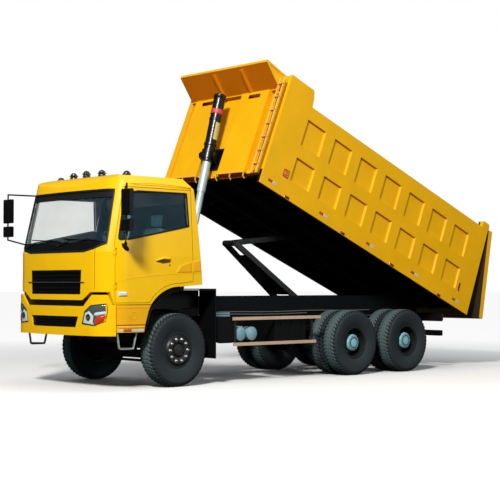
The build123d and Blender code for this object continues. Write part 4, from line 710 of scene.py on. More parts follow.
seams, roof_rails = [], []
drip_z, drip_bow, drip_inset = 2.985, 0.030, 0.0445
drip_from, drip_length, drip_turn = 1.10, 1.30, 0.747      # it turns in along the corner ahead of the last
crease = [(1.150, 1.575), (1.009, 1.613), (0.592, 1.660), (0.162, 1.691), (-0.195, 1.699)]
wedge_edge = [(0.111, 1.705), (0.045, 1.812), (-0.190, 1.874)]
handle_lip = [(0.500, 1.880), (0.466, 1.908), (0.365, 1.943), (0.221, 1.925), (0.212, 1.900), (0.365, 1.906)]
rear_wedge = [(-0.200, 1.714), (-0.200, 1.876), (-0.352, 1.916), (-0.372, 1.722)]
for side, hand in hands:
    flank = on_flank(side)
    door = "door_" + hand
    seams.append(moulding([(side * 0.939, 1.45), (side * 0.940, 2.05)], on_nose, 0.007, 0.003))
    drip = np.linspace(0, 1, 26)
    x = drip_from - drip_length * drip
    past = np.clip(x - drip_turn, 0, 0.40)
    path = line_at(FRONT + x, side * (corner_y - drip_inset + np.sqrt(corner_r ** 2 - past ** 2)),
                   drip_z + drip_bow * np.sin(np.pi * drip))
    roof_rails.append(sweep(path, soft_box(0.022, 0.012, 0.004)))
    roof_rails.append(moulding([(-0.215, 1.699), (-0.386, 1.718)], flank, 0.010, 0.006))
    folds = [moulding(crease, flank, 0.010, 0.006), moulding(wedge_edge, flank, 0.014, 0.010),
             cushion(handle_lip, flank, 0.020, gap=0.02)]
    piece("door_folds_" + hand, folds, yellow_enamel, door)
    # The wedges take the darker enamel as painted shade.
    door_wedge = cushion(wedge_edge + [(-0.190, 1.712)], flank, 0.006, power=16, gap=0.02)
    piece("door_wedge_" + hand, [door_wedge], shade_painted_enamel, door)
    piece("cab_wedge_" + hand, [cushion(rear_wedge, flank, 0.006, power=16, gap=0.02)], shade_painted_enamel, "cab")
piece("panel_seams", seams, shut_line_and_recess_shade, "cab")
piece("roof_drip_rails", roof_rails, yellow_enamel, "cab")


# ---- Cab front: windscreen, grille, bumper and lamps -----------------------------------------
# Laminated glass bonded in a black rubber gasket, a moulded black grille with one bright bar, and
# lamps of acrylic over metallised bowls. Bumper and steps are pressed steel in the cab's enamel,
# fenders and mirrors moulded black.
moulded_black = coat("Moulded black", (0.003, 0.0033, 0.004), (0.02, 0.02, 0.02), 0.42, edge=0.2, dust=0.02,
                     top=1.1, grain=(520.0, 0.3), variation=0.10, shine=0.2)
dress(moulded_black, "grille", "front_fenders", "mirror_left", "mirror_right")
dress(yellow_enamel, "bumper")


def glazing(name, color, sheen):
    """Tinted glass: plain transmission, with a faint unevenness in its polish."""
    made, tree, shader = new_finish(name)
    deep = [c * 0.8 for c in color]
    polish = maths(tree, "MULTIPLY_ADD", blotches(tree, 3.0), 0.015, 0.0)
    for label, value in (("Base Color", mix(tree, blotches(tree, 1.6), deep, color)), ("Roughness", polish),
                         ("Transmission Weight", 1.0), ("Specular Tint", sheen), ("IOR", 1.45)):
        feed(tree, shader[label], value)
    return made


def sheet_of(rows, thickness):
    """Closed panel from a grid of points: the grid, the same grid moved along its normals by the
    thickness, and a band of faces round the rim."""
    rows = np.asarray(rows, float)
    n, m = rows.shape[:2]
    down, over = np.gradient(rows, axis=0), np.gradient(rows, axis=1)
    normal = np.cross(down, over)
    normal /= np.linalg.norm(normal, axis=2)[..., None]
    verts = np.concatenate([rows.reshape(-1, 3), (rows + thickness * normal).reshape(-1, 3)])
    top = net(n, m, count_close=False)
    rim = np.r_[np.arange(m), np.arange(1, n) * m + m - 1, (n - 1) * m + np.arange(m - 2, -1, -1),
                np.arange(n - 2, 0, -1) * m]
    after = np.roll(rim, -1)
    band = np.stack([rim, rim + n * m, after + n * m, after], 1)
    return verts, np.concatenate([top[:, ::-1], top + n * m, band]).tolist()


def grid(x, y):
    """Two coordinates spread over a grid, the first along its rows."""
    return np.meshgrid(x, y, indexing="ij")


def panel(x, y, z, thickness):
    """Closed panel whose points are three coordinates on a grid, the first measured from the front axle."""
    x, y, z = np.broadcast_arrays(x, y, z)
    return sheet_of(np.stack([FRONT + x, y, z], 2), thickness)


arch = np.array([(-0.680, 1.462), (-0.350, 1.464), (-0.020, 1.462), (0.175, 1.438), (0.335, 1.374),
                 (0.440, 1.304), (0.533, 1.226), (0.584, 1.134), (0.615, 1.040), (0.642, 0.955)])
for side, hand in hands:
    edge_line = line_at(FRONT + arch[:, 0], side * 1.186, arch[:, 1] - 0.020)
    flange = sweep(edge_line, soft_box(0.012, 0.050, 0.004), level=(0, 1, 0))
    x, z = grid(np.linspace(-0.672, 0.250, 12), np.linspace(1.165, 1.448, 5))
    wing = panel(x, side * 0.806, z - 0.10 * np.clip(x, 0, None) ** 1.5, 0.005 * side)
    piece("arch_flange_" + hand, [flange, wing], moulded_black, "chassis")
window_tint = glazing("Window tint", (0.955, 0.99, 0.99), (0.25, 0.70, 1.0))
dress(window_tint, "windscreen", "door_glass_left", "door_glass_right")
rubber_black = rubber("Gasket rubber", 0.006)
screen = [(-1.037, 2.907), (1.037, 2.907), (1.078, 2.125), (0.900, 2.050), (0.700, 2.012), (-0.700, 2.012),
          (-0.900, 2.050), (-1.078, 2.125)]
piece("windscreen_gasket", [moulding(screen, on_nose, 0.034, 0.012, closed=True)], rubber_black, "cab")
cowl = [(-1.070, 2.150), (1.070, 2.150), (1.070, 2.130), (0.890, 2.055), (0.695, 2.018), (-0.695, 2.018),
        (-0.890, 2.055), (-1.070, 2.130)]
piece("windscreen_cowl", [cushion(cowl, on_nose, 0.006, power=10)], moulded_black, "cab")
top_band = [(-1.025, 2.895), (1.025, 2.895), (1.030, 2.800), (-1.030, 2.800)]
piece("windscreen_top_band", [cushion(top_band, on_nose, -0.010, skirt=0.013, power=16)], rubber_black, "cab")
wipers = []
cap = [(0, 0), (0.024, 0), (0.024, 0.018), (0.014, 0.026), (0, 0.026)]
for foot, tip in ((-0.82, -0.02), (0.06, 0.86)):
    arm = [(foot, 2.100), (foot + 0.30, 2.165), (tip - 0.06, 2.185)]
    blade = [(foot + 0.10, 2.205), (tip + 0.06, 2.168)]
    spindle = on_nose(np.array([arm[0]]), 0.004)[0][0]
    wipers += [moulding(arm, proud_of_nose(0.020), 0.014, 0.010),
               moulding(blade, proud_of_nose(0.008), 0.012, 0.024), turned(cap, spindle, (1, 0, 0.24), 20)]
piece("wipers", wipers, rubber_black, "cab")
window = [(1.022, 2.890), (-0.105, 2.895), (-0.136, 2.404), (1.158, 2.150)]
mirror_foot = [(1.110, 2.125), (1.055, 2.128), (1.000, 2.070), (0.985, 2.030), (1.015, 2.005), (1.060, 2.022),
               (1.100, 2.070)]
recess = [(0.500, 1.868), (0.365, 1.838), (0.235, 1.856), (0.215, 1.890), (0.365, 1.903), (0.470, 1.893)]
key_barrel = [(0, -0.002), (0.013, -0.002), (0.013, 0.003), (0.009, 0.006), (0, 0.006)]
for side, hand in hands:
    flank = on_flank(side)
    door = "door_" + hand
    gasket = moulding(window, flank, 0.026, 0.010, closed=True)
    piece("door_window_gasket_" + hand, [gasket], rubber_black, door)
    swell = cushion(mirror_foot, flank, 0.034, power=3, gap=0.015)
    piece("mirror_foot_" + hand, [swell], moulded_black, door)
    lock, normal = flank(np.array([(0.242, 1.818)]), 0.0)
    # The recess patch under the handle's lip is painted shade; the key barrel is dark metal.
    dark = [cushion(recess, flank, 0.003, gap=0.02), turned(key_barrel, lock[0], normal[0], 20)]
    piece("door_handle_recess_" + hand, dark, shut_line_and_recess_shade, door)

bright = coat("Bright trim", (0.62, 0.64, 0.66), (0.30, 0.30, 0.30), 0.16, metallic=1.0, edge=0.2, dust=0.2,
              grain=(300.0, 0.05), variation=0.03)
bar = moulding([(-0.735, 1.564), (0.735, 1.564)], proud_of_nose(0.010), 0.014, 0.010)
piece("grille_bar", [bar], bright, "cab")
mesh_bars = []
for low, high, half, count, proud, depth in ((0.915, 1.058, 0.545, 34, 0.014, 0.004),       # bumper slot
                                             (1.392, 1.736, 0.600, 25, -0.012, 0.006)):     # grille
    mesh_bars += [moulding([(y, low), (y, high)], proud_of_nose(proud), 0.004, depth, gap=0.2)
                  for y in np.linspace(-half, half, count)]
piece("grille_mesh", mesh_bars, moulded_black, "cab")

reflector = coat("Lamp reflector", (0.50, 0.66, 0.68), (0.7, 0.7, 0.7), 0.12, metallic=0.9, edge=0.0,
                 dust=0.05, grain=(60.0, 1.0), bump=0.010, clear=1.0, variation=0.25)
clear_lens = lens("Clear lens", (0.80, 0.90, 0.90), 0.06)
red_lens_front = lens("Indicator lens", (0.70, 0.045, 0.008), 0.10, 0.05)
amber_lens = lens("Amber lens", (0.80, 0.22, 0.02))
smoked_lens = lens("Smoked lens", (0.020, 0.018, 0.018), 0.10)
dress(reflector, "headlamps")
dress(smoked_lens, "marker_lamps")
lamp_rim = [(0.711, 0.962), (0.763, 1.139), (0.894, 1.228), (1.108, 1.255), (1.116, 1.143), (1.095, 1.003),
            (0.962, 0.939)]
beam = [(0.905, 1.215), (1.098, 1.240), (1.104, 1.165), (0.985, 1.130), (0.880, 1.140)]
position = [(0.965, 1.125), (1.104, 1.150), (1.106, 1.108), (0.985, 1.080), (0.945, 1.095)]
indicator = [(0.985, 1.068), (1.108, 1.095), (1.098, 1.045), (1.075, 1.005), (0.985, 0.955), (0.955, 0.990)]
dip = [(0.735, 0.978), (0.775, 1.118), (0.862, 1.150), (0.940, 1.075), (0.925, 0.985), (0.950, 0.955)]
lamp_parts = (("main", beam, 0.006, 3, reflector), ("bar", position, 0.008, 3, clear_lens),
              ("indicator", indicator, 0.007, 3, red_lens_front), ("dip", dip, 0.005, 4, clear_lens))
bulb_y, bulb_z, lamp_proud = 0.850, 1.060, 0.0235
bowl = [(0, 0.001), (0.012, 0.001), (0.020, 0.004), (0.045, 0.008), (0.050, 0.006), (0.050, 0.0), (0, 0.0)]
repeater = [(1.165, 1.428), (1.020, 1.424), (1.015, 1.362), (1.160, 1.358)]
for side, hand in hands:
    def face(points, proud):
        """The lamp's face: the cab's own, on this side, moved out by the lamp's glass."""
        return on_nose(points * np.array([side, 1.0]), proud + lamp_proud)

    piece("headlamp_gasket_" + hand, [moulding(lamp_rim, face, 0.012, 0.008, closed=True, gap=0.04)],
          rubber_black, "cab")
    for part, outline, rise, power, finish in lamp_parts:
        piece("headlamp_%s_%s" % (part, hand), [cushion(outline, face, rise, power=power, gap=0.02)], finish,
              "cab")
    bulb, normal = on_nose(np.array([(side * bulb_y, bulb_z)]), 0.028)
    piece("headlamp_bowl_" + hand, [turned(bowl, bulb[0], normal[0], 32)], bright, "cab")
    piece("side_repeater_" + hand, [cushion(repeater, on_flank(side), 0.018, power=4, gap=0.02)], clear_lens,
          "door_" + hand)
domes = []
base = [(0, 0), (0.066, 0), (0.066, 0.012), (0.058, 0.018), (0, 0.018)]
arc = np.linspace(0, np.pi / 2, 8)
hood = np.stack([0.050 * np.cos(arc), 0.018 + 0.042 * np.sin(arc)], 1)
roof_lamp_x, roof_lamp_z, sweep_back, droop = FRONT + 0.880, 3.199, 0.160, 0.0606
for y in (-0.860, -0.370, 0.0, 0.370, 0.860):
    spot = (roof_lamp_x - sweep_back * y * y, y, roof_lamp_z - droop * y * y)
    domes += [turned(profile, spot, (0, 0, 1), 28) for profile in (base, hood)]
piece("marker_lamp_domes", domes, smoked_lens, "cab")

white_tape = coat("White tape", (0.55, 0.60, 0.52), (0.4, 0.4, 0.4), 0.35, edge=0.0, dust=0.3, top=1.6,
                  grain=(500.0, 0.3), variation=0.10)
red_tape = coat("Red tape", (0.45, 0.045, 0.015), (0.3, 0.05, 0.03), 0.35, edge=0.0, dust=0.3, top=1.6,
                grain=(500.0, 0.3), variation=0.10)
rung_grey = coat("Rung grey", (0.38, 0.42, 0.41), (0.2, 0.2, 0.2), 0.45, metallic=0.3, edge=0.5, dust=0.4,
                 top=1.0, grain=(200.0, 0.3))


def below_step(tree):
    """1 under the lower step's edge, where the stirrup hangs bare of the cab's enamel."""
    return maths(tree, "LESS_THAN", component(tree, "Object", (0, 0, 1)), 0.832)


# The step panel takes the darker enamel as painted shade; the stirrup below it is bare grey.
dress(over_paint(like(shade_painted_enamel, "Step enamel with painted shade"), below_step, (0.10, 0.12, 0.115)), "cab_steps")
rung = np.array([(1.150, 0.846), (1.112, 0.622), (1.100, 0.606), (1.080, 0.6015), (0.880, 0.600),
                 (0.862, 0.604), (0.853, 0.620), (0.800, 0.846)])
stirrup_y, tape_low, tape_high = 1.160, 0.850, 0.888
for side, hand in hands:
    flank = on_flank(side)
    marks = [moulding([(1.180, 1.238), (0.600, 1.238)], flank, 0.010, 0.003),
             moulding([(1.180, 0.948), (0.700, 0.946)], flank, 0.014, 0.003)]
    piece("step_shut_lines_" + hand, marks, shut_line_and_recess_shade, "cab")
    # The step beads take the darker enamel as painted shade.
    beads = [moulding([(1.175, 1.200), (0.625, 1.200)], flank, 0.014, 0.008),
             moulding([(1.150, 0.915), (0.712, 0.915)], flank, 0.030, 0.012),
             moulding(on_circle((0.905, 1.080), 0.055, 24, (0, 1)), flank, 0.010, 0.008, closed=True)]
    piece("step_beads_" + hand, beads, shade_painted_enamel, "cab")
    for name, paint, spans in (("white", white_tape, ((1.150, 1.082), (0.936, 0.718))),
                               ("red", red_tape, ((1.076, 0.940),))):
        tapes = [cushion([(start, tape_high), (end, tape_high), (end, tape_low), (start, tape_low)], flank,
                         0.0015, power=16) for start, end in spans]
        piece("step_tape_%s_%s" % (name, hand), tapes, paint, "cab")
    stirrup = line_at(FRONT + rung[:, 0], side * stirrup_y, rung[:, 1])
    sleeve = sweep(stirrup, rod(0.0162, 16), level=(0, 1, 0))
    piece("step_rung_sleeve_" + hand, [sleeve], rung_grey, "cab")


# ---- Cab inside ------------------------------------------------------------------------------
# Woven seat covers over foam on a pressed pedestal, a moulded dashboard, and a dark trimmed lining
# clipped to roof, rear wall, floor and doors.
cloth = coat("Cushion cloth", (0.10, 0.24, 0.29), (0.12, 0.12, 0.13), 0.9, edge=0.0, dust=0.0,
             grain=(700.0, 1.0), bump=0.003, variation=0.12)
lining = coat("Cab lining", (0.003, 0.005, 0.007), (0.02, 0.02, 0.02), 0.8, edge=0.0, dust=0.0,
              grain=(500.0, 0.8), bump=0.002, variation=0.12)


def stuffed(centre, wide, deep, high, lean):
    """Stuffed form on two angles: a superellipsoid, whose faces crown and whose sides pull in between its
    corners, with two sewn channels across its face and two beside its bolsters, leant about the level."""
    turn, rise = np.meshgrid(np.arange(72) * np.pi / 36, np.linspace(-np.pi / 2, np.pi / 2, 49))
    circle = np.stack([np.cos(turn), np.sin(turn), np.cos(rise), np.sin(rise)])
    round_x, round_y, level_r, z = np.sign(circle) * np.abs(circle) ** 0.36
    x, y = round_x * level_r, round_y * level_r
    waist = 1 - 0.05 * (1 - z * z) * y * y - 0.04 * (1 - y * y) * z * z
    channels = np.exp(-((np.abs(z) - 0.34) / 0.045) ** 2) * (np.abs(y) < 0.68)
    channels = channels + np.exp(-((np.abs(y) - 0.70) / 0.05) ** 2)
    x = x * deep * (1 + 0.10 * (1 - y * y) * (1 - z * z)) - 0.010 * channels * np.clip(x * 3, 0, 1)
    y, z = y * wide * waist, z * high * waist
    ahead, up = x * math.cos(lean) - z * math.sin(lean), x * math.sin(lean) + z * math.cos(lean)
    spots = np.stack([ahead, y, up], -1)
    return (spots + np.asarray(centre)).reshape(-1, 3), net(49, 72).tolist()


seat_y, seat_half, stand_half, post_half = 0.550, 0.250, 0.170, 0.050
pedestal = [(0.060, 1.562), (0.340, 1.492), (0.440, 1.430), (0.440, 1.735), (0.060, 1.715)]
seat_pads, stands = [], []
for side in (1, -1):
    middle = side * seat_y
    seat_pads += [stuffed((FRONT + 0.300, middle, 1.775), seat_half, 0.072, 0.265, math.radians(92)),
                  stuffed((FRONT + 0.010, middle, 2.105), seat_half, 0.080, 0.295, 0.110),
                  stuffed((FRONT - 0.045, middle, 2.507), 0.110, 0.042, 0.092, 0.060)]
    stands.append(sweep([(FRONT, middle - stand_half, 0.0), (FRONT, middle + stand_half, 0.0)], pedestal))
    for y in (seat_y - post_half, seat_y + post_half):
        stands.append(sweep([(FRONT - 0.020, side * y, 2.360), (FRONT - 0.040, side * y, 2.440)], rod(0.007)))
pads = piece("seat_cushions", seat_pads, cloth, "cab")
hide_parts("seats")
piece("seat_stands", stands, lining, "cab")
dress(lining, "dashboard")

wall_lean, wall_foot, floor_z, lining_t = 0.088, 1.60, 1.578, 0.006
x, y = grid(np.linspace(-0.10, 0.88, 12), np.linspace(-1.02, 1.02, 17))
roof_z = 3.108 - 0.055 * (y / 1.02) ** 4 - 0.06 * ((x - 0.35) / 0.55) ** 4 * (x > 0.35)
panels = [panel(x, y, roof_z, lining_t)]
z, y = grid(np.linspace(wall_foot, 2.95, 12), np.linspace(-1.135, 1.135, 17))
panels.append(panel(-0.318 + wall_lean * (z - wall_foot), y, z, lining_t))
x, y = grid(np.linspace(-0.28, 0.20, 6), np.linspace(-1.14, 1.14, 9))
panels.append(panel(x, y, floor_z - 0.06 * (x + 0.28), lining_t))
z, x = grid(np.linspace(1.62, 2.93, 10), np.linspace(-0.30, -0.225, 3))
for side in (1, -1):
    pillar_y = side * (1.158 - 0.04 * np.clip(z - draw_from, 0, None))
    panels.append(panel(x + wall_lean * (z - wall_foot), pillar_y, z, lining_t))
piece("cab_lining", panels, lining, "cab")
z, y = grid(np.linspace(1.170, 1.345, 4), np.linspace(-0.80, 0.80, 33))
backing = on_nose(np.stack([y.ravel(), z.ravel()], 1), np.full(y.size, -0.020))[0]
piece("slot_backing", [sheet_of(backing.reshape(4, 33, 3), 0.003)], moulded_black, "cab")
s, t = grid(np.linspace(0, 1, 12), np.linspace(0, 1, 8))
x = -0.13 + 1.16 * s
sill, foot = 2.395 - 0.196 * (x + 0.13), 1.60 - 0.10 * np.clip(s - 0.35, 0, None)
z = foot + (sill - 0.01 - foot) * t
swell = 0.012 * np.sin(np.pi * t) * np.sin(np.pi * s)
arm_x, arm_z = np.array([0.75, 0.30, 0.02]), np.array([2.02, 2.04, 2.06])
for side, hand in hands:
    card = panel(x, side * (1.160 - 0.04 * np.clip(z - draw_from, 0, None) - swell), z, 0.008)
    arm = sweep(line_at(FRONT + arm_x, side * 1.120, arm_z), soft_box(0.07, 0.05, 0.02), level=(0, 1, 0))
    piece("door_card_" + hand, [card, arm], lining, "door_" + hand)


# ---- Load bed --------------------------------------------------------------------------------
# Folded and welded steel body, hinged at the rear of the frame: enamel outside, black underneath,
# bare and scoured within. Tapes, lamps and hooks are fixed to it once it is sprayed.
tilt = math.radians(22.5)
hinge_x, hinge_z = FRONT - 6.080, 1.150
bed_front, bed_low, bed_side = FRONT - 1.125, 1.270, 1.250      # its lower front edge, and its side
bed_up, bed_back = (-math.sin(tilt), 0, math.cos(tilt)), (-math.cos(tilt), 0, -math.sin(tilt))
floor_height = bed_low + 0.233 - hinge_z - math.sin(tilt) * hinge_x + math.cos(tilt) * hinge_z


def bed_coat(name, under, shade):
    """Bed enamel whose downward faces, and the panels' walls that face back where shade says so, carry a
    browner coat as painted shade, and whose inner strip below the floor is black where under says so."""
    made = coat(name, (0.85, 0.435, 0.002), (0.42, 0.20, 0.03), 0.32, edge=0.25, dust=0.06, top=1.2,
                grain=(300.0, 0.15), bump=0.002, clear=0.08, variation=0.04, dust_color=(0.36, 0.24, 0.08),
                shine=0.20)

    def painted_shade_walls(tree):
        down = maths(tree, "MULTIPLY", component(tree, "Normal", bed_up), -1.0)
        back = maths(tree, "MULTIPLY", component(tree, "Normal", bed_back), shade)
        return maths(tree, "MULTIPLY_ADD", maths(tree, "MAXIMUM", down, back), 4.0, -0.8, clamp=True)

    def below_floor(tree):
        height = component(tree, "Object", bed_up)
        height = maths(tree, "MULTIPLY_ADD", height, -300.0, 300.0 * under, clamp=True)
        return maths(tree, "MULTIPLY", height, within(1.235)(tree))
    # Painted shade: downward faces and back-facing recess walls darkened to brown.
    over_paint(made, painted_shade_walls, (0.58, 0.17, 0.002))
    return over_paint(made, below_floor, (0.010, 0.009, 0.008))


side_enamel = bed_coat("Bed side enamel", floor_height, 1.0)
head_enamel = bed_coat("Bed front enamel", -90.0, 0.0)          # so low that nothing is under it
# The tailgate's forward-facing faces, under the raised bed, are painted near black as shade.
gate_enamel_shaded_front = over_paint(like(head_enamel, "Gate enamel with painted shade"), beyond("Normal", (1, 0, 0), 0.5),
                         (0.035, 0.026, 0.016))
under_black = coat("Underbody black", (0.004, 0.004, 0.004), (0.02, 0.016, 0.014), 0.65, edge=0.2, dust=0.04,
                   top=0.5, grain=(220.0, 0.35), variation=0.12, shine=0.15)
over_paint(under_black, beyond("Object", bed_up, floor_height + 0.048), (0.20, 0.175, 0.145))
dress(side_enamel, "bed_sides")
dress(head_enamel, "headboard", "ladder")
dress(gate_enamel_shaded_front, "tailgate")
dress(under_black, "bed_floor")
dress(moulded_black, "hoist_mount")


def on_bed(points):
    """Points back from the bed's front edge, across and up from its lower edge, tipped about the rear
    hinge: each is the hinge plus its offset turned by the bed's angle."""
    points = np.asarray(points, float)
    ahead, up = bed_front - points[:, 0] - hinge_x, bed_low + points[:, 2] - hinge_z
    return np.stack([hinge_x + ahead * math.cos(tilt) - up * math.sin(tilt), points[:, 1],
                     hinge_z + ahead * math.sin(tilt) + up * math.cos(tilt)], 1)


def on_bed_side(side):
    """Points back and up on the bed's side, standing proud along its level normal."""
    def place(points, proud):
        out = bed_side + np.broadcast_to(proud, len(points))
        spots = on_bed(np.stack([points[:, 0], side * out, points[:, 1]], 1))
        return spots, np.broadcast_to(np.array([0.0, side, 0.0]), spots.shape)
    return place


def box_at(x, z, wide, high):
    """Outline of an upright oblong about its middle."""
    return [(x - wide / 2, z - high / 2), (x + wide / 2, z - high / 2), (x + wide / 2, z + high / 2),
            (x - wide / 2, z + high / 2)]


marker_red = lens("Marker red", (0.30, 0.012, 0.010), 0.15)
tape_size, tape_z, lamp_size, lamp_z = (0.10, 0.045), 0.122, (0.11, 0.045), 0.030
tape_places, lamp_places = (0.206, 1.460, 2.700, 3.970, 5.230), (0.64, 2.05, 3.40, 4.79)
square_lamp = (0.480, 0.377)
for side, hand in hands:
    flank = on_bed_side(side)
    for name, shift, paint in (("red", 0.0, red_tape), ("white", 0.11, white_tape)):
        tapes = [cushion(box_at(s + shift, tape_z, *tape_size), flank, 0.0015, power=16) for s in tape_places]
        piece("bed_tape_%s_%s" % (name, hand), tapes, paint, "bed")
    lamps = [cushion(box_at(s, lamp_z, *lamp_size), flank, 0.020, power=4, gap=0.02) for s in lamp_places]
    lamps.append(cushion(box_at(5.289, 0.393, 0.05, 0.16), flank, 0.004, power=8, gap=0.03))
    piece("bed_marker_lamps_" + hand, lamps, marker_red, "bed")
    lamp_frame = moulding(box_at(*square_lamp, 0.115, 0.115), flank, 0.022, 0.012, closed=True)
    piece("bed_square_lamp_frame_" + hand, [lamp_frame], red_tape, "bed")
    lamp_glass = cushion(box_at(*square_lamp, 0.085, 0.085), flank, 0.008, power=4)
    piece("bed_square_lamp_" + hand, [lamp_glass], amber_lens, "bed")

# Deep orange on the ribs under the canopy: painted shade of the canopy's underside.
canopy_painted_shade = coat("Canopy painted shade", (0.62, 0.21, 0.003), (0.42, 0.20, 0.03), 0.4, edge=0.2, dust=0.05,
                     grain=(300.0, 0.15), shine=0.2)
ribs = []
for y in (-0.22, 0.47):
    path = on_bed([(-0.075, y, 1.640), (-0.180, y, 1.712), (-0.320, y, 1.806), (-0.440, y, 1.886)])
    ribs.append(sweep(path, soft_box(0.060, 0.070, 0.020), level=(0, 1, 0)))
piece("canopy_ribs", ribs, canopy_painted_shade, "bed")
edge_path = on_bed([(-0.062, y, 1.648) for y in np.linspace(-1.09, 1.09, 9)])
piece("canopy_lower_edge", [sweep(edge_path, soft_box(0.026, 0.018, 0.006))], yellow_enamel, "bed")


def bar_on_bed(back, low, high, up, outline, level):
    """Straight bar across the bed at one place back and up."""
    return sweep(on_bed([(back, low, up), (back, high, up)]), outline, level=level)


# Thin dark brown bars laid in the headboard's slots and box openings as painted shadow.
slot_shadow_brown = coat("Slot painted shadow", (0.36, 0.075, 0.003), (0.36, 0.17, 0.03), 0.5, edge=0.2, dust=0.1,
                  grain=(300.0, 0.2))
ladder_tan = coat("Ladder tan", (0.80, 0.45, 0.10), (0.30, 0.20, 0.10), 0.5, dust=0.15, top=1.0,
                  grain=(220.0, 0.25), variation=0.08)
hook_out, hook_in = 0.925, 0.262
slots = [bar_on_bed(-0.038, low, high, up, soft_box(0.006, 0.050, 0.002), (1, 0, 0))
         for low, high, up in ((-1.02, -0.62, 1.595), (-0.55, -0.24, 1.600), (0.98, 1.10, 1.600))]
hooks = []
for side in (1, -1):
    near, far = side * 0.30, side * 0.885
    slots += [bar_on_bed(-0.062, near, far, 0.142, soft_box(0.088, 0.012, 0.004), bed_up),
              bar_on_bed(-0.020, near, far, 0.098, soft_box(0.008, 0.080, 0.003), (1, 0, 0))]
    for y in (hook_in, 0.60, hook_out):
        path = on_bed([(-0.108, side * y, 0.160), (-0.100, side * y, 0.085), (-0.055, side * y, 0.055)])
        hooks.append(sweep(path, soft_box(0.026, 0.012, 0.004), level=(0, 1, 0)))
    hooks.append(bar_on_bed(-0.112, side * hook_in, side * hook_out, 0.146, rod(0.010), (0, 0, 1)))
piece("headboard_shadow_slots", slots, slot_shadow_brown, "bed")
piece("headboard_hooks", hooks, ladder_tan, "bed")
first_rung, rung_step = 0.270, 0.240
rungs = [bar_on_bed(-0.128, 1.105, 1.245, first_rung + i * rung_step, rod(0.011), (0, 0, 1))
         for i in range(7)]
rungs += [sweep(on_bed([(-0.118, y, 0.115), (-0.118, y, 1.805)]), rod(0.012)) for y in (1.120, 1.225)]
piece("ladder_rungs", rungs, ladder_tan, "bed")


# ---- Hoist and stabiliser --------------------------------------------------------------------
# Seamless tube barrel in gloss black with welded collars, its four hard-chromed stages drawn out of
# it one by one, and box-section stabiliser arms. The barrel hangs in a trunnion under the bed's front.
barrel_black = coat("Barrel black", (0.006, 0.0065, 0.008), (0.05, 0.05, 0.05), 0.34, edge=0.3, dust=0.05,
                    top=1.4, grain=(300.0, 0.15), clear=0.15, variation=0.08, shine=0.4)
stage_chrome = coat("Stage chrome", (0.52, 0.68, 0.66), (0.66, 0.76, 0.72), 0.42, metallic=0.35, edge=0.1,
                    dust=0.04, top=1.5, grain=(500.0, 0.1), bump=0.001, variation=0.03)
ring_red = coat("Ring red", (0.62, 0.055, 0.075), (0.3, 0.1, 0.1), 0.45, edge=0.3, dust=0.1,
                grain=(400.0, 0.1))
plate_cream = coat("Plate cream", (0.56, 0.50, 0.20), (0.3, 0.3, 0.2), 0.5, edge=0.3, dust=0.1,
                   grain=(400.0, 0.1))
dress(barrel_black, "hoist_barrel", "stabiliser_lower", "stabiliser_upper")
dress(stage_chrome, "hoist_stage_1", "hoist_stage_2", "hoist_stage_3", "hoist_stage_4")
trunnion = on_bed([(-0.190, 0.0, 0.480)])[0]
down = np.array([FRONT - 0.950, 0.0, 1.300]) - trunnion
down /= np.linalg.norm(down)
skin = 0.097                                                     # just under the barrel's surface


def band_on_barrel(low, high, out, round_off, step):
    """Turned band between two places along the barrel, its outer corners taken off."""
    return turned([(skin, low), (out - round_off, low), (out, low + step), (out, high - step),
                   (out - round_off, high), (skin, high)], trunnion, down, 48)


cap = [(0, -1.068), (0.050, -1.068), (0.085, -1.060), (0.104, -1.045), (0.104, -0.985), (0.099, -0.978),
       (0.096, -0.978)]
collars = [turned(cap, trunnion, down, 48)]
for low, high, out in ((-0.640, -0.600, 0.106), (-0.200, -0.155, 0.110), (0.030, 0.070, 0.114)):
    collars.append(band_on_barrel(low, high, out, 0.004, 0.004))
piece("hoist_collars", collars, barrel_black, "hoist_barrel")
piece("hoist_ring", [band_on_barrel(-0.790, -0.710, 0.1040, 0.0015, 0.004)], ring_red, "hoist_barrel")
turn, run = grid(np.radians(np.linspace(52, 118, 12)), np.linspace(-0.56, -0.26, 5))
front_way, left_way = np.cross((0.0, 1.0, 0.0), down), np.array([0.0, 1.0, 0.0])
round_it = np.cos(turn)[..., None] * front_way + np.sin(turn)[..., None] * left_way
piece("hoist_plate", [sheet_of(trunnion + run[..., None] * down + 0.0992 * round_it, -0.0012)], plate_cream,
      "hoist_barrel")


# ---- Studio: floor, lights and camera --------------------------------------------------------
# A pale floor that melts into a white surround, under one broad key light from ahead on the left
# and two weak fills, seen from ahead on the vehicle's left.
bpy.ops.mesh.primitive_plane_add(size=400, location=(0, 0, 0))
floor = bpy.context.object
floor.name = "floor"
paper, tree, pale = new_finish("Floor paper")
feed(tree, pale["Base Color"], mix(tree, blotches(tree, 0.5), (0.90, 0.90, 0.90), (0.94, 0.94, 0.94)))
pale["Roughness"].default_value = 0.9
away = tree.nodes.new("ShaderNodeVectorMath")
away.operation = "LENGTH"
tree.links.new(tree.nodes.new("ShaderNodeTexCoord").outputs["Object"], away.inputs[0])
fade_from, fade_over = 5.5, 9.0
far = maths(tree, "MULTIPLY_ADD", away.outputs["Value"], 1 / fade_over, -fade_from / fade_over, clamp=True)
far = maths(tree, "SMOOTH_MIN", far, 1.0)


def mixed(tree, factor, first, second):
    """Mix of two shaders by a factor."""
    node = tree.nodes.new("ShaderNodeMixShader")
    for socket, value in zip(node.inputs, (factor, first, second)):
        feed(tree, socket, value)
    return node.outputs[0]


def looked_at(tree):
    """1 for what the camera sees, straight on or through glass, and the ray node's outputs."""
    ray = tree.nodes.new("ShaderNodeLightPath").outputs
    return maths(tree, "MAXIMUM", ray["Is Camera Ray"], ray["Is Transmission Ray"]), ray


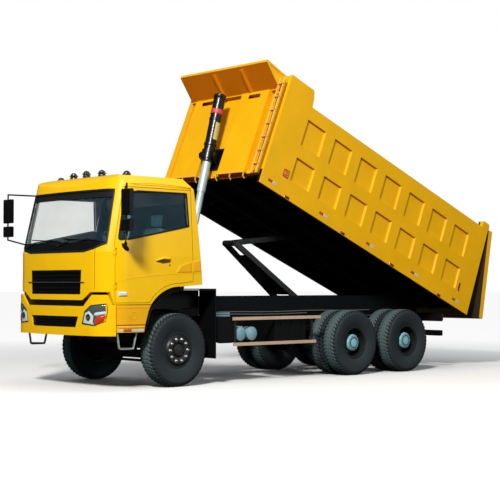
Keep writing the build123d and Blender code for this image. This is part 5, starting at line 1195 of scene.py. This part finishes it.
grey = tree.nodes.new("ShaderNodeBsdfDiffuse")
grey.inputs["Color"].default_value = (0.05, 0.05, 0.05, 1)
glow = tree.nodes.new("ShaderNodeEmission").outputs[0]
faded = mixed(tree, far, tree.nodes["Principled BSDF"].outputs[0], glow)
shown = mixed(tree, looked_at(tree)[0], grey.outputs[0], faded)
tree.links.new(shown, tree.nodes["Material Output"].inputs["Surface"])
floor.data.materials.append(paper)


def softbox(name, place, target, size, power, color=(1, 1, 1)):
    """Square area light that faces its target."""
    light = bpy.data.lights.new(name, "AREA")
    light.shape, light.size, light.energy, light.color = "SQUARE", size, power, color
    made = bpy.data.objects.new(name, light)
    made.location = place
    aim = Vector(target) - Vector(place)
    made.rotation_euler = aim.to_track_quat("-Z", "Y").to_euler()
    bpy.context.scene.collection.objects.link(made)


softbox("key", (20, 13.5, 17), (0, 0, 2.0), 3.5, 8300, (1.0, 0.985, 0.95))
softbox("side", (-6, 20, 7), (-2, 0, 1.5), 8, 900, (0.95, 0.98, 1.0))
softbox("top", (-3, 2, 18), (-1, 0, 0), 9, 600)
room = bpy.data.worlds.new("studio")
room.use_nodes = True
air = room.node_tree


def surround(node, color, strength):
    """One of the room's backgrounds, with its colour and strength."""
    node.inputs["Color"].default_value = color
    node.inputs["Strength"].default_value = strength
    return node.outputs[0]


soft = surround(air.nodes["Background"], (0.93, 0.96, 1.0, 1), 0.29)
white = surround(air.nodes.new("ShaderNodeBackground"), (1, 1, 1, 1), 1.0)
dim = surround(air.nodes.new("ShaderNodeBackground"), (0.80, 0.92, 1.0, 1), 0.09)
direct, ray = looked_at(air)
air.links.new(mixed(air, direct, mixed(air, ray["Is Glossy Ray"], soft, dim), white),
              air.nodes["World Output"].inputs["Surface"])
bpy.context.scene.world = room

lens_data = bpy.data.cameras.new("camera")
camera = bpy.data.objects.new("camera", lens_data)
bpy.context.scene.collection.objects.link(camera)
lens_data.lens, lens_data.sensor_width = 89.65, 36.0
lens_data.clip_end = 500
yaw, pitch, roll = math.radians(42.442), math.radians(1.596), math.radians(0.0853)
ahead = Vector((-math.sin(yaw) * math.cos(pitch), -math.cos(yaw) * math.cos(pitch), math.sin(pitch)))
right = Vector((-math.cos(yaw), math.sin(yaw), 0))
up = right.cross(ahead)
across, upward = right * math.cos(roll) + up * math.sin(roll), up * math.cos(roll) - right * math.sin(roll)
turn = Matrix((across, upward, -ahead)).transposed()
camera.matrix_world = Matrix.Translation((14.881, 15.633, 1.531)) @ turn.to_4x4()
bpy.context.scene.camera = camera
bpy.context.scene.view_settings.view_transform = "Standard"
bpy.context.scene.view_settings.look = "None"
